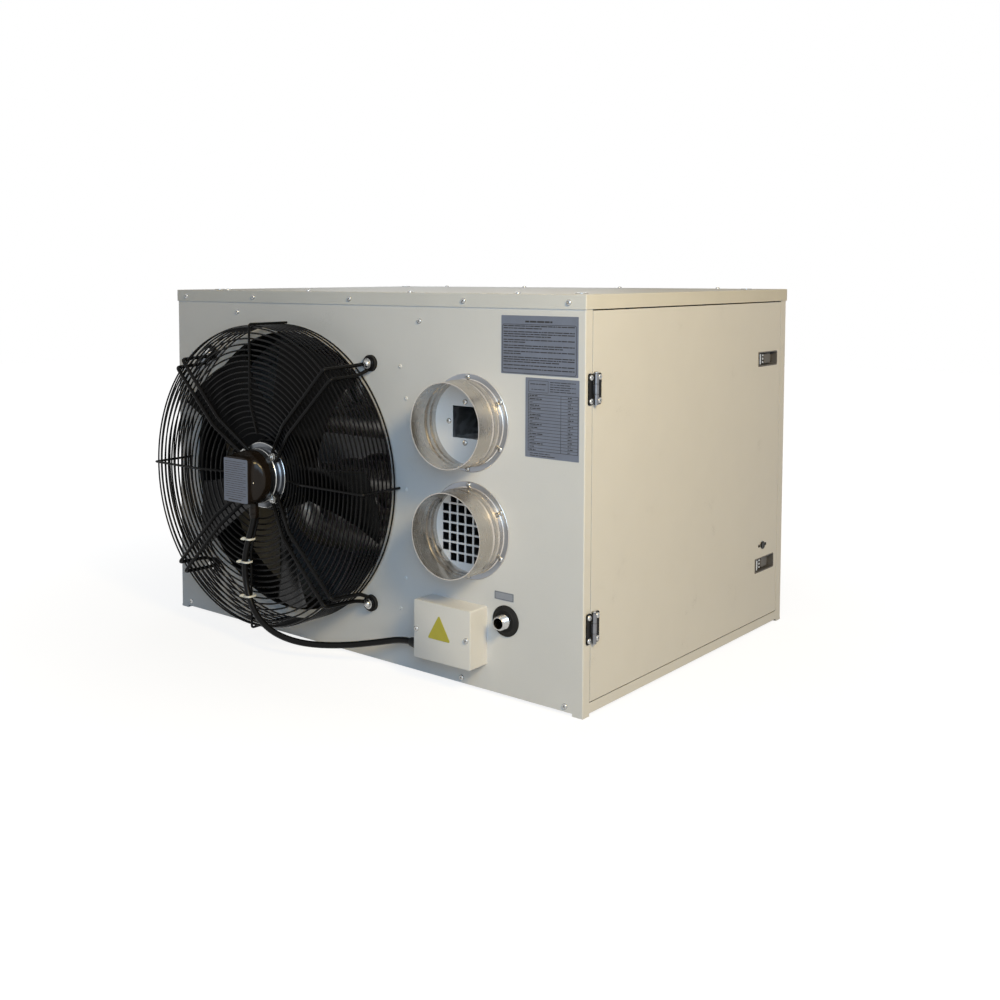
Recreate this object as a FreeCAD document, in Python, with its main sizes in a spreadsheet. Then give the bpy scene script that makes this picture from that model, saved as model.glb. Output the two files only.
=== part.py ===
"""Gas-fired warm-air unit heater with an axial fan, two round spigots and a service door.

Everything is drawn from the fan face's lower left corner at floor level: X to the right along
the fan face, Y into the casing, Z up. Each sub-part's Placement then carries it to the row's
origin, on the floor under the middle of the whole heater.
"""
import FreeCAD
import Part
import math
import os
import re
import Sketcher

Vector = FreeCAD.Vector
Rotation = FreeCAD.Rotation

# Driving dimensions in millimetres, angles in degrees.
SIZES = {
    # casing
    "Width": 861, "Depth": 639, "Height": 580, "Sheet": 1.5, "Bend": 2,
    "OriginX": 433.4, "OriginY": 266.6,
    "FootDrop": 4, "FootSide": 17, "PanFlange": 22, "SillTop": 18.6,
    "LidRim": 20, "LidOverhang": 1.5, "FrontReturn": 17, "RearReturn": 20,
    "PostLeg": 16, "PartitionX": 545,
    # axial fan
    "FanX": 283.6, "FanZ": 280.7, "FanHole": 232, "FootOffset": 189,
    "ThroatRadius": 228.5, "ThroatEnd": 62,
    "GuardRadius": 247.5, "GuardDepth": 84, "RingWire": 1.4, "SpokeWire": 2, "StrutWire": 3,
    "Weld": 0.5,
    "FirstRing": 70, "RingPitch": 9.07, "FirstSideRing": 73.5, "SideRingPitch": 9.2,
    "DishRadius": 121, "DishSlope": 0.3, "StrutBend": 118,
    "StrutInner": 7.5, "StrutMiddle": 9, "StrutOuter": 10,
    "EyeRadius": 11, "WasherRadius": 13, "WasherThick": 6,
    "MotorFlange": 54, "FlangeFront": 58.6, "MotorRadius": 48, "MotorCap": 44, "MotorFront": 90,
    "MotorBoxWide": 59.4, "MotorBoxTall": 74.6, "MotorBoxFront": 113, "MotorBoltCircle": 48.7,
    "GlandY": 77, "GlandBottom": 213, "HubRadius": 60, "HubFront": 42,
    "BladeTip": 224, "BladePitch": 27, "BladeThick": 3,
    # spigots and the panel's punched openings
    "SpigotX": 663, "AirX": 665, "FlueZ": 392, "AirZ": 234, "SpigotRadius": 62.5, "SpigotWall": 1,
    "SpigotLength": 56, "SpigotFlange": 72, "SpigotScrews": 67.3,
    "OutletX": 657.5, "OutletSide": 47, "GrillePitch": 14.5, "GrilleCell": 11.7,
    # junction box and gas connection
    "BoxLeft": 593, "BoxRight": 698, "BoxBottom": 41, "BoxTop": 127.6, "BoxDepth": 40.6,
    "LeadRadius": 5, "BushZ": 54, "BushY": 20.3,
    "GasX": 731.7, "GasZ": 112.2, "PipeRadius": 10.48, "PipeBore": 8, "PipeOut": 19, "GrommetRadius": 22.5,
    # door on the right side
    "DoorBottom": 20, "DoorTop": 558, "DoorGap": 1.5, "DoorFold": 13.5,
    "HingeY": 21, "HingeOut": 3.8, "HingeUpper": 452, "HingeLower": 123, "LeafHalf": 21.5, "LeafThick": 2,
    "KnuckleRadius": 3.5, "PinRadius": 1.6, "KnuckleHalf": 7, "RunningGap": 0.06,
    "LatchStart": 533, "LatchLength": 72, "LatchHeight": 24.6, "LatchUpper": 463.5, "LatchLower": 112.6,
    "LatchDepth": 13, "ResetY": 560.5, "ResetZ": 145.5,
    # warm-air outlet
    "OutletLeft": 40, "OutletRight": 535, "OutletBottom": 60, "OutletTop": 520,
    "LouvreY": 618, "LouvreHalf": 31, "LouvreTilt": 20, "LouvrePitch": 76.6, "LouvrePin": 3,
    # heat exchanger and burners
    "TubeRadius": 25, "TubeWall": 1.5, "FirstTube": 250, "TubePitch": 80, "LowPass": 112, "PassRise": 110,
    "TurnLeft": 70, "TurnRight": 500, "CollectorRight": 596, "WheelY": 290, "WheelZ": 437,
    "ScrollRadius": 75, "ScrollLeft": 630, "ScrollRight": 686,
    # fasteners
    "ScrewHead": 4, "ScrewTall": 2.6,
}

doc = FreeCAD.newDocument("warm_air_heater")
sheet = doc.addObject("Spreadsheet::Sheet", "Sizes")
for row, (alias, number) in enumerate(SIZES.items(), start=1):
    sheet.set(f"A{row}", alias)
    sheet.set(f"B{row}", str(number))
    sheet.setAlias(f"B{row}", alias)
doc.recompute()

TURNS = {
    "+X": Rotation(Vector(0, 1, 0), 90),
    "-X": Rotation(Vector(0, 1, 0), -90),
    "+Y": Rotation(Vector(1, 0, 0), -90),
    "-Y": Rotation(Vector(1, 0, 0), 90),
    "+Z": Rotation(),
    "-Z": Rotation(Vector(1, 0, 0), 180),
}
NODES = []


# ---------------------------------------------------------------- drawing helpers

def size(alias):
    """A driving dimension's number, for shapes made by Part's own functions."""
    return float(sheet.get(alias))


def linked(formula):
    """The formula with each size's name pointed at its cell in the sheet."""
    return re.sub(r"[A-Z][A-Za-z]+", r"Sizes.\g<0>", str(formula))


def bind(thing, **formulas):
    for name, formula in formulas.items():
        thing.setExpression(name, linked(formula))


def put(thing, at):
    for axis, formula in zip("xyz", at):
        thing.setExpression(f"Placement.Base.{axis}", linked(formula))
    return thing


def block(x, y, z):
    """A box between two limits along each axis."""
    solid = doc.addObject("Part::Box", "block")
    spans = [f"({high}) - ({low})" for low, high in (x, y, z)]
    bind(solid, Length=spans[0], Width=spans[1], Height=spans[2])
    return put(solid, (x[0], y[0], z[0]))


def rod(at, along, radius, length):
    solid = doc.addObject("Part::Cylinder", "rod")
    bind(solid, Radius=radius, Height=length)
    solid.Placement.Rotation = TURNS[along]
    return put(solid, at)


def taper(at, along, radius, end_radius, length):
    solid = doc.addObject("Part::Cone", "taper")
    bind(solid, Radius1=radius, Radius2=end_radius, Height=length)
    solid.Placement.Rotation = TURNS[along]
    return put(solid, at)


def hoop(at, radius, wire):
    """A ring round the Y axis, its wire drawn eight-sided to keep the guard's mesh light."""
    section = doc.addObject("Part::RegularPolygon", "section")
    section.Polygon = 8
    bind(section, Circumradius=wire)
    put(section, (f"{at[0]} + {radius}", at[1], at[2]))
    solid = doc.addObject("Part::Revolution", "hoop")
    solid.Source = section
    solid.Axis = Vector(0, 1, 0)
    solid.Angle = 360
    solid.Solid = True
    for axis, formula in zip("xyz", at):
        solid.setExpression(f"Base.{axis}", linked(formula))
    return solid


def fuse(*members):
    whole = doc.addObject("Part::MultiFuse", "fuse")
    whole.Shapes = list(members)
    return whole


def cut(base, *tools):
    rest = doc.addObject("Part::Cut", "cut")
    rest.Base = base
    rest.Tool = tools[0] if len(tools) == 1 else fuse(*tools)
    return rest


def group(*members):
    whole = doc.addObject("Part::Compound", "group")
    whole.Links = list(members)
    return whole


def copy(master, at, along="+Y"):
    """The same solid again at another place; the master is drawn along +Y."""
    twin = doc.addObject("App::Link", "twin")
    twin.LinkedObject = master
    twin.Placement = FreeCAD.Placement(Vector(), TURNS[along] * TURNS["+Y"].inverted())
    return put(twin, at)


def new_sketch(body, role):
    plane = next(item for item in body.Origin.OriginFeatures if item.Role == role)
    sketch = body.newObject("Sketcher::SketchObject", "sketch")
    sketch.AttachmentSupport = [(plane, "")]
    sketch.MapMode = "FlatFace"
    return sketch


def hold(sketch, geometry, spot, across, up):
    """Ties one point of the sketch to the sheet."""
    for kind, formula in (("DistanceX", across), ("DistanceY", up)):
        index = sketch.addConstraint(Sketcher.Constraint(kind, -1, 1, geometry, spot, 0.0))
        sketch.setExpression(f"Constraints[{index}]", linked(formula))


def draw_outline(sketch, corners):
    """A closed outline of straight edges, each corner tied to the sheet."""
    first = sketch.GeometryCount
    count = len(corners)
    turn = 2 * math.pi / count
    seeds = [Vector(50 * math.cos(i * turn), 50 * math.sin(i * turn), 0) for i in range(count)]
    for i in range(count):
        sketch.addGeometry(Part.LineSegment(seeds[i], seeds[(i + 1) % count]), False)
    for i in range(count):
        sketch.addConstraint(Sketcher.Constraint("Coincident", first + i, 2, first + (i + 1) % count, 1))
    for i, (across, up) in enumerate(corners):
        hold(sketch, first + i, 1, across, up)


def new_body(name):
    return doc.addObject("PartDesign::Body", name)


def padded(name, role, corners, length):
    """A body whose first feature is a pad of one outline."""
    body = new_body(name)
    sketch = new_sketch(body, role)
    draw_outline(sketch, corners)
    pad = body.newObject("PartDesign::Pad", "pad")
    pad.Profile = sketch
    bind(pad, Length=length)
    return body


def turned(name, corners):
    """A body of revolution about Y from (radius, y) corners."""
    body = new_body(name)
    sketch = new_sketch(body, "XY_Plane")
    draw_outline(sketch, corners)
    revolution = body.newObject("PartDesign::Revolution", "revolution")
    revolution.Profile = sketch
    revolution.ReferenceAxis = (sketch, ["V_Axis"])
    revolution.Angle = 360
    return body


def piece(name, *members, at=(0, 0, 0)):
    """Names a sub-part and carries it from the drawing corner to the row's origin."""
    part = members[0] if len(members) == 1 and at != (0, 0, 0) else None
    if part is None:
        loose = len(members) > 1 or members[0].TypeId in ("Part::Box", "Part::Cylinder", "App::Link")
        part = group(*members) if loose else members[0]
    part.Label = name
    put(part, (f"({at[0]}) - OriginX", f"({at[1]}) - OriginY", at[2]))
    NODES.append(part)
    return part


def shaped(name, shape):
    """A sub-part whose shape comes from Part's own functions."""
    feature = doc.addObject("Part::Feature", name)
    feature.Shape = shape
    feature.Placement = FreeCAD.Placement(Vector(), Rotation())
    return feature


def bent_path(points, radii):
    """Straight runs joined by tangent arcs, one radius for each inner point."""
    edges = []
    start = points[0]
    for before, corner, after, radius in zip(points, points[1:], points[2:], radii):
        back = (before - corner).normalize()
        ahead = (after - corner).normalize()
        half = back.getAngle(ahead) / 2
        first = corner + back * (radius / math.tan(half))
        last = corner + ahead * (radius / math.tan(half))
        middle = corner + (back + ahead).normalize() * (radius / math.sin(half) - radius)
        edges.append(Part.LineSegment(start, first).toShape())
        edges.append(Part.Arc(first, middle, last).toShape())
        start = last
    edges.append(Part.LineSegment(start, points[-1]).toShape())
    return Part.Wire(edges)


def swept(path, radius):
    """A round rod along a path."""
    start = path.OrderedEdges[0]
    ring = Part.makeCircle(radius, start.valueAt(start.FirstParameter), start.tangentAt(start.FirstParameter))
    return path.makePipeShell([Part.Wire(ring)], True, False)


# ---------------------------------------------------------------- casing

def make_base():
    inner_back = "Depth - Sheet"
    floor = block(("Sheet", "Width - Sheet"), ("Sheet", inner_back), ("FootDrop", "FootDrop + Sheet"))
    front = block(("Sheet", "Width - Sheet"), ("Sheet", "2 * Sheet"), ("FootDrop", "PanFlange"))
    back = block(("Sheet", "Width - Sheet"), ("Depth - 2 * Sheet", inner_back), ("FootDrop", "PanFlange"))
    left = block(("Sheet", "2 * Sheet"), ("Sheet", inner_back), ("FootDrop", "PanFlange"))
    sill = block(("Width - Sheet", "Width"), ("FrontReturn", "Depth - RearReturn"), ("FootDrop", "SillTop"))
    piece("base_pan", fuse(floor, front, back, left, sill))
    near_x, far_x = ("0", "FootSide"), ("Width - FootSide", "Width")
    near_y, far_y = ("0", "FootSide"), ("Depth - FootSide", "Depth")
    feet = [block(x, y, ("0", "FootDrop")) for x in (near_x, far_x) for y in (near_y, far_y)]
    piece("corner_feet", *feet)


def make_posts():
    """Four upright angles that stand on the base pan inside the corners."""
    tall = ("FootDrop + Sheet", "Height - Sheet")
    sides = {
        "left": (("2 * Sheet", "2 * Sheet + PostLeg"), ("2 * Sheet", "3 * Sheet")),
        "right": (("Width - Sheet - PostLeg", "Width - Sheet"), ("Width - 2 * Sheet", "Width - Sheet")),
    }
    ends = {
        "front": (("2 * Sheet", "3 * Sheet"), ("2 * Sheet", "FrontReturn")),
        "rear": (("Depth - 3 * Sheet", "Depth - 2 * Sheet"), ("Depth - RearReturn", "Depth - 2 * Sheet")),
    }
    posts = []
    for leg_x, web_x in sides.values():
        for leg_y, web_y in ends.values():
            posts.append(fuse(block(leg_x, leg_y, tall), block(web_x, web_y, tall)))
    piece("corner_posts", *posts)


def channel_panel(name, face, inside, turn):
    """A folded panel with a return at each side; the outer folds are rounded."""
    body = padded(name, "XY_Plane", [
        ("0", face), ("Width", face), ("Width", turn), ("Width - Sheet", turn),
        ("Width - Sheet", inside), ("Sheet", inside), ("Sheet", turn), ("0", turn),
    ], "Height - Sheet - FootDrop")
    doc.recompute()
    pad = body.Tip
    outer = [f"Edge{i}" for i, edge in enumerate(pad.Shape.Edges, start=1) if is_outer_fold(edge, face)]
    fold = body.newObject("PartDesign::Fillet", "fold")
    fold.Base = (pad, outer)
    bind(fold, Radius="Bend - 0.6")
    put(body, ("0", "0", "FootDrop"))
    return body


def is_outer_fold(edge, face):
    """True on a panel's upright outer edge; face is the formula of its outer surface."""
    level = size("Depth") if face == "Depth" else 0
    box = edge.BoundBox
    upright = box.ZLength > 1 and box.XLength < 0.01 and box.YLength < 0.01
    at_side = min(abs(box.XMin), abs(box.XMin - size("Width"))) < 0.01
    return upright and at_side and abs(box.YMin - level) < 0.01


def fan_feet():
    """The four fixing points of the fan guard on the panel."""
    return [(f"FanX + {i} * FootOffset", f"FanZ + {j} * FootOffset") for i in (-1, 1) for j in (-1, 1)]


def make_fan_panel():
    through = ("-Sheet", "2 * Sheet")
    punch = [rod(("FanX", "-Sheet", "FanZ"), "+Y", "FanHole", "3 * Sheet")]
    for x, z in fan_feet():
        punch.append(rod((x, "-Sheet", z), "+Y", 4.2, "3 * Sheet"))
    half = "OutletSide / 2"
    punch.append(block((f"OutletX - {half}", f"OutletX + {half}"), through,
                       (f"FlueZ - {half}", f"FlueZ + {half}")))
    punch.append(rod(("GasX", "-Sheet", "GasZ"), "+Y", 18, "3 * Sheet"))
    punch.append(rod(("BoxLeft + 70", "-Sheet", "BoxBottom + 30"), "+Y", 12, "3 * Sheet"))
    reach = 3
    for column in range(-reach, reach + 1):
        for row in range(-reach, reach + 1):
            if abs(column) == reach and abs(row) == reach:
                continue
            low_x = f"AirX + {column} * GrillePitch - GrilleCell / 2"
            low_z = f"AirZ + {row} * GrillePitch - GrilleCell / 2"
            punch.append(block((low_x, f"{low_x} + GrilleCell"), through, (low_z, f"{low_z} + GrilleCell")))
    piece("fan_panel", cut(channel_panel("fan_sheet", "0", "Sheet", "FrontReturn"), *punch))


def louvre_levels():
    count = 6
    return [f"OutletBottom + ({i} + 0.5) * LouvrePitch" for i in range(count)]


def make_outlet_panel():
    """The rear panel, with an inward flange each side of the opening that carries the louvres."""
    sheet_body = channel_panel("outlet_sheet", "Depth", "Depth - Sheet", "Depth - RearReturn")
    reach = ("LouvreY - 12", "Depth - Sheet / 2")
    tall = ("OutletBottom - 5", "OutletTop + 5")
    ears = [block(("OutletLeft - Sheet", "OutletLeft"), reach, tall),
            block(("OutletRight", "OutletRight + Sheet"), reach, tall)]
    opening = block(("OutletLeft", "OutletRight"), ("Depth - 3 * Sheet", "Depth + Sheet"),
                    ("OutletBottom", "OutletTop"))
    pivots = [rod(("OutletLeft - 2 * Sheet", "LouvreY", level), "+X", "LouvrePin + RunningGap",
                  "OutletRight - OutletLeft + 4 * Sheet") for level in louvre_levels()]
    piece("outlet_panel", cut(fuse(cut(sheet_body, opening), *ears), *pivots))


def make_lid():
    over = "LidOverhang"
    body = padded("lid_sheet", "XY_Plane", [
        (f"-{over}", f"-{over}"), (f"Width + {over}", f"-{over}"),
        (f"Width + {over}", f"Depth + {over}"), (f"-{over}", f"Depth + {over}"),
    ], "LidRim")
    doc.recompute()
    pad = body.Tip
    top = max(pad.Shape.Faces, key=lambda face: face.CenterOfMass.z)
    rounded = [edge for edge in pad.Shape.Edges if edge.BoundBox.ZLength > 1
               or abs(edge.BoundBox.ZMin - top.CenterOfMass.z) < 0.01]
    names = [f"Edge{i}" for i, edge in enumerate(pad.Shape.Edges, start=1)
             if any(edge.isSame(other) for other in rounded)]
    fillet = body.newObject("PartDesign::Fillet", "fold")
    fillet.Base = (pad, names)
    bind(fillet, Radius="Bend - 0.6")
    put(body, ("0", "0", "Height - LidRim"))
    hollow = block(("0", "Width"), ("0", "Depth"), ("Height - LidRim - 1", "Height - Sheet"))
    holes = [rod((x, y, "Height - 2 * Sheet"), "+Z", 6.5, "3 * Sheet") for x, y in hanging_points()]
    piece("top_lid", cut(body, hollow, *holes))


def hanging_points():
    return [(x, y) for x in ("45", "Width - 45") for y in ("60", "Depth - 60")]


def make_hanging_nuts():
    """Threaded inserts in the lid, where hanging rods screw in."""
    nuts = []
    for x, y in hanging_points():
        sleeve = rod((x, y, "Height - 16"), "+Z", 6.5, 16)
        collar = rod((x, y, "Height"), "+Z", 9, 1.2)
        bore = rod((x, y, "Height - 18"), "+Z", 4.25, 24)
        nuts.append(cut(fuse(sleeve, collar), bore))
    piece("hanging_nuts", *nuts)


def make_side_and_partition():
    tall = ("FootDrop", "Height - Sheet")
    piece("left_side_panel", block(("0", "Sheet"), ("FrontReturn", "Depth - RearReturn"), tall))
    wall = block(("PartitionX", "PartitionX + Sheet"), ("2 * Sheet", "Depth - 2 * Sheet"),
                 ("FootDrop + Sheet", "Height - Sheet"))
    holes = []
    for y in tube_rows():
        for z in ("LowPass", "LowPass + 3 * PassRise"):
            holes.append(rod(("PartitionX - Sheet", y, z), "+X", "TubeRadius - TubeWall", "4 * Sheet"))
    piece("partition", cut(wall, *holes))


# ---------------------------------------------------------------- axial fan

def make_ring():
    piece("fan_ring", turned("fan_ring_turned", [
        ("252", "Sheet"), ("252", "2 * Sheet"), ("241.5", "2 * Sheet"), ("236", "5.2"), ("232", "9.5"),
        ("ThroatRadius + 1.5", "16"), ("ThroatRadius + 1.5", "ThroatEnd"), ("ThroatRadius", "ThroatEnd"),
        ("ThroatRadius", "16"), ("230.6", "8.8"), ("234.8", "4.2"), ("241", "Sheet"),
    ]), at=("FanX", "0", "FanZ"))


def around(angle, radius, offset, y):
    """A point round the fan's axis: out along an angle, then sideways."""
    out = Vector(math.cos(angle), 0, math.sin(angle))
    side = Vector(-math.sin(angle), 0, math.cos(angle))
    return Vector(size("FanX"), 0, size("FanZ")) + out * radius + side * offset + Vector(0, y, 0)


def guard_strut(angle):
    """Two wires side by side from the motor to the rim and back to an eye on the wall."""
    wire = size("StrutWire")
    front = -size("GuardDepth") - 1
    rim = size("GuardRadius") + 1
    foot = size("FootOffset") * math.sqrt(2)
    eye_back = -size("WasherThick")
    eye = size("EyeRadius")
    shape = Part.makeCylinder(eye, 3, around(angle, foot, 0, eye_back), Vector(0, -1, 0))
    for side in (-1, 1):
        inner, middle, outer = [side * size(name) for name in ("StrutInner", "StrutMiddle", "StrutOuter")]
        points = [around(angle, 47.5, inner, -size("FlangeFront") - wire - 0.2),
                  around(angle, size("StrutBend"), middle, front), around(angle, rim, outer, front),
                  around(angle, rim + 3, outer, -34), around(angle, foot - 9.5, side * 6, eye_back - 1.5)]
        shape = shape.fuse(swept(bent_path(points, [20, 7, 25]), wire))
    hole = Part.makeCylinder(4.2, 12, around(angle, foot, 0, 0), Vector(0, -1, 0))
    return shape.cut(hole).removeSplitter()


def guard_spoke(angle):
    front, rim, dish = -size("GuardDepth"), size("GuardRadius"), size("DishRadius")
    inner = size("FirstRing") - 1
    points = [around(angle, inner, 0, front + (dish - inner) * size("DishSlope")),
              around(angle, dish, 0, front), around(angle, rim, 0, front), around(angle, rim, 0, -1)]
    return swept(bent_path(points, [10, 5]), size("SpokeWire"))


def make_guard():
    """A wire basket whose middle dips back to the motor's flange."""
    hoops = []
    for i in range(20):
        ring_y = "-GuardDepth + SpokeWire + RingWire - Weld"
        if size("FirstRing") + i * size("RingPitch") < size("DishRadius"):
            ring_y += f" + (DishRadius - FirstRing - {i} * RingPitch) * DishSlope"
        hoops.append(hoop(("FanX", ring_y, "FanZ"), f"FirstRing + {i} * RingPitch", "RingWire"))
    side_radius = "GuardRadius - SpokeWire - RingWire + Weld"
    for i in range(8):
        hoops.append(hoop(("FanX", f"-FirstSideRing + {i} * SideRingPitch", "FanZ"), side_radius, "RingWire"))
    quarter = math.pi / 2
    wires = [shaped(f"spoke_{i + 1}", guard_spoke(i * quarter)) for i in range(4)]
    struts = [shaped(f"strut_{i + 1}", guard_strut((i + 0.5) * quarter)) for i in range(4)]
    piece("fan_guard", fuse(*hoops, *wires, *struts))
    washer_parts, bolt_parts = [], []
    for x, z in fan_feet():
        back = "-WasherThick"
        washer_parts.append(cut(rod((x, "0", z), "-Y", "WasherRadius", "WasherThick"),
                                rod((x, "1", z), "-Y", 4.2, "WasherThick + 2")))
        head = taper((x, f"{back} - 3", z), "-Y", 7.5, 5, 6)
        bolt_parts.append(fuse(head, rod((x, f"{back} - 3", z), "+Y", 4, 22)))
    piece("guard_washers", *washer_parts)
    piece("guard_bolts", *bolt_parts)


def make_motor():
    """External-rotor motor: the stator hangs from the guard, the rotor cup is the fan's hub."""
    body = put(turned("motor_turned", [
        ("0", "14"), ("6", "14"), ("6", "-8"), ("MotorRadius", "-8"), ("MotorRadius", "-FlangeFront + 8.6"),
        ("MotorFlange - 1", "-FlangeFront + 8.6"), ("MotorFlange", "-FlangeFront + 7.6"),
        ("MotorFlange", "-FlangeFront + 1"), ("MotorFlange - 1", "-FlangeFront"),
        ("MotorCap + 1", "-FlangeFront"), ("MotorCap + 1", "-68"), ("MotorCap", "-68"),
        ("MotorCap", "-MotorFront"), ("0", "-MotorFront"),
    ]), ("FanX", "0", "FanZ"))
    gland = rod(("FanX", "-GlandY", "GlandBottom"), "+Z", 8, 30)
    entry = rod(("FanX", "-GlandY", "GlandBottom - 1"), "+Z", 5.8, 6)
    corners = [(f"FanX + {i} * MotorBoltCircle * 0.7071", f"FanZ + {j} * MotorBoltCircle * 0.7071")
               for i in (-1, 1) for j in (-1, 1)]
    recesses = [rod((x, "-FlangeFront", z), "-Y", 7, 18) for x, z in corners]
    piece("fan_motor", cut(fuse(body, gland), entry, *recesses))
    wide, tall = "MotorBoxWide / 2", "MotorBoxTall / 2"
    case = padded("terminal_box_pad", "XZ_Plane", [
        (f"-{wide} + 3", f"-{tall}"), (f"{wide} - 3", f"-{tall}"),
        (wide, f"-{tall} + 3"), (wide, f"{tall} - 3"),
        (f"{wide} - 3", tall), (f"-{wide} + 3", tall),
        (f"-{wide}", f"{tall} - 3"), (f"-{wide}", f"-{tall} + 3"),
    ], "MotorBoxFront - MotorFront - 1")
    put(case, ("FanX - 2.4", "-MotorFront - 1", "FanZ - 1.2"))
    flare = taper(("FanX", "-MotorFront", "FanZ"), "-Y", "MotorCap - 0.6", 36, 9)
    room = block(("FanX - 25", "FanX + 21"), ("-MotorBoxFront + 4", "-MotorFront + 1"),
                 ("FanZ - 29", "FanZ + 28"))
    piece("motor_terminal_box", cut(fuse(case, flare), room))
    bolt = fuse(rod((0, 7.25, 0), "-Y", 3, 8), rod((0, 0, 0), "-Y", 6.5, 1.6),
                taper((0, -1.5, 0), "-Y", 5.6, 5.1, 3.8), rod((0, -5.2, 0), "-Y", 3, 2.6))
    piece("motor_nuts", *[copy(bolt, (x, "-FlangeFront - 7.3", z)) for x, z in corners])


def blade_blank():
    """A sickle-shaped blade drawn flat, radius along X and the chord along Z."""
    def arc(*corners):
        return Part.Arc(*[Vector(x, 0, z) for x, z in corners]).toShape()
    edges = [
        arc((50, -52), (135, -40), (212, -62)),
        arc((212, -62), (222, -8), (206, 84)),
        arc((206, 84), (128, 62), (50, 44)),
        Part.LineSegment(Vector(50, 0, 44), Vector(50, 0, -52)).toShape(),
    ]
    thick = size("BladeThick")
    blank = Part.Face(Part.Wire(edges)).extrude(Vector(0, thick, 0))
    blank.translate(Vector(0, -thick / 2, 0))
    return blank


def make_impeller():
    piece("impeller_hub", turned("hub_turned", [
        ("6 + RunningGap", "20"), ("HubRadius - 6", "20"), ("HubRadius", "14"), ("HubRadius", "-HubFront"),
        ("MotorRadius + 3", "-HubFront"), ("MotorRadius + 3", "-4"), ("6 + RunningGap", "-4"),
    ]), at=("FanX", "0", "FanZ"))
    centre = Vector(size("FanX"), 0, size("FanZ"))
    depth = Vector(0, -20, 0)
    low = centre + Vector(0, -100, 0)
    hub = Part.makeCylinder(size("HubRadius"), 200, low, Vector(0, 1, 0))
    sweep = Part.makeCylinder(size("BladeTip"), 200, low, Vector(0, 1, 0))
    blades = []
    count = 5
    for i in range(count):
        blade = blade_blank()
        blade.rotate(Vector(), Vector(1, 0, 0), size("BladePitch"))
        blade.rotate(Vector(), Vector(0, 1, 0), i * 360 / count + 12)
        blade.translate(centre + depth)
        blades.append(shaped(f"blade_{i + 1}", blade.common(sweep).cut(hub)))
    piece("impeller_blades", *blades)


# ---------------------------------------------------------------- spigots and screws

def make_spigots():
    """Two flanged tubes with a pair of shallow beads each."""
    bore = "SpigotRadius - SpigotWall"
    corners = [
        (bore, "-SpigotLength"), ("SpigotRadius", "-SpigotLength"), ("SpigotRadius", "-26"),
        ("SpigotRadius + 1.2", "-24.5"), ("SpigotRadius + 1.2", "-22.5"), ("SpigotRadius", "-21"),
        ("SpigotRadius", "-14"), ("SpigotRadius + 1.2", "-12.5"), ("SpigotRadius + 1.2", "-10.5"),
        ("SpigotRadius", "-9"), ("SpigotRadius", "-1.4"), ("SpigotFlange", "-1.4"), ("SpigotFlange", "0"),
        (bore, "0"),
    ]
    piece("flue_spigot", turned("flue_turned", corners), at=("SpigotX", "0", "FlueZ"))
    piece("air_spigot", turned("air_turned", corners), at=("AirX", "0", "AirZ"))


def make_fasteners():
    screw = turned("screw_turned", [
        ("0", "0"), ("ScrewHead", "0"), ("ScrewHead", "-1.2"), ("ScrewHead - 0.8", "-2.1"),
        ("ScrewHead - 2.2", "-ScrewTall"), ("0", "-ScrewTall"),
    ])
    heads = []
    for x, z in (("SpigotX", "FlueZ"), ("AirX", "AirZ")):
        for i in range(6):
            turn = f"{30 + 60 * i}"
            across, up = f"{x} + SpigotScrews * cos({turn})", f"{z} + SpigotScrews * sin({turn})"
            heads.append(copy(screw, (across, "-1.4", up)))
    rim = "Height - LidRim / 2 - 1"
    for x in (25.8, 203, 427.6, 654.8, 835.2):
        heads.append(copy(screw, (x, "-LidOverhang", rim)))
        heads.append(copy(screw, (x, "Depth + LidOverhang", rim), "-Y"))
    for across, up in ((30, 0), (-30, 0), (0, 30), (0, -30)):
        heads.append(copy(screw, (f"OutletX + {across}", "0", f"FlueZ + {up}")))
    for x, z in ((161.2, 543.3), (570.4, 537.6), (652, 12), (27, 13), (832.5, 12)):
        heads.append(copy(screw, (x, "0", z)))
    for x in (120, 320, 540, 740):
        for y in ("14", "Depth - 14"):
            heads.append(copy(screw, (x, y, "Height"), "-Z"))
    for z in ("HingeUpper", "HingeLower"):
        for side in (-1, 1):
            heads.append(copy(screw, ("Width + LeafThick", "11", f"{z} + {side} * 16"), "-X"))
    for x in ("BoxLeft + 5.5", "BoxRight - 6.5"):
        heads.append(copy(screw, (x, "-BoxDepth", "(BoxBottom + BoxTop) / 2")))
    piece("panel_screws", *heads)
    door_heads = [copy(screw, ("Width + LeafThick", "32", f"{z} + {side} * 16"), "-X")
                  for z in ("HingeUpper", "HingeLower") for side in (-1, 1)]
    piece("door_screws", *door_heads)
    rivet = turned("rivet_turned", [("0", "0"), ("3", "0"), ("2.4", "-0.9"), ("1.2", "-1.4"), ("0", "-1.4")])
    spots = ((41.6, 468.8), (532.3, 467.6), (543.9, 419.3), (543.5, 280), (542.5, 143.3), (532.5, 94.1))
    piece("partition_rivets", *[copy(rivet, (x, "0", z)) for x, z in spots])


# ---------------------------------------------------------------- lead and junction box

def lead_route():
    """The fan lead: out of the motor, down the guard, then along to the junction box."""
    depth, level = -size("BushY"), size("BushZ")
    points = [(size("FanX"), 0.4 - size("GlandY"), size("GlandBottom") + 3.5),
              (282.8, -79, 203), (279.3, -83.9, 181), (276.8, -90, 157), (276.6, -92.4, 132),
              (280.5, -93, 108), (290, -94.2, 83), (311, -95.5, 57), (341, -93.5, 40), (376, -83.5, 30),
              (412, -66.5, 26.6), (460, -45.5, 31), (511, -28, 42.5), (552, depth, level),
              (570, depth, level)]
    return [Vector(*point) for point in points]


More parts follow.
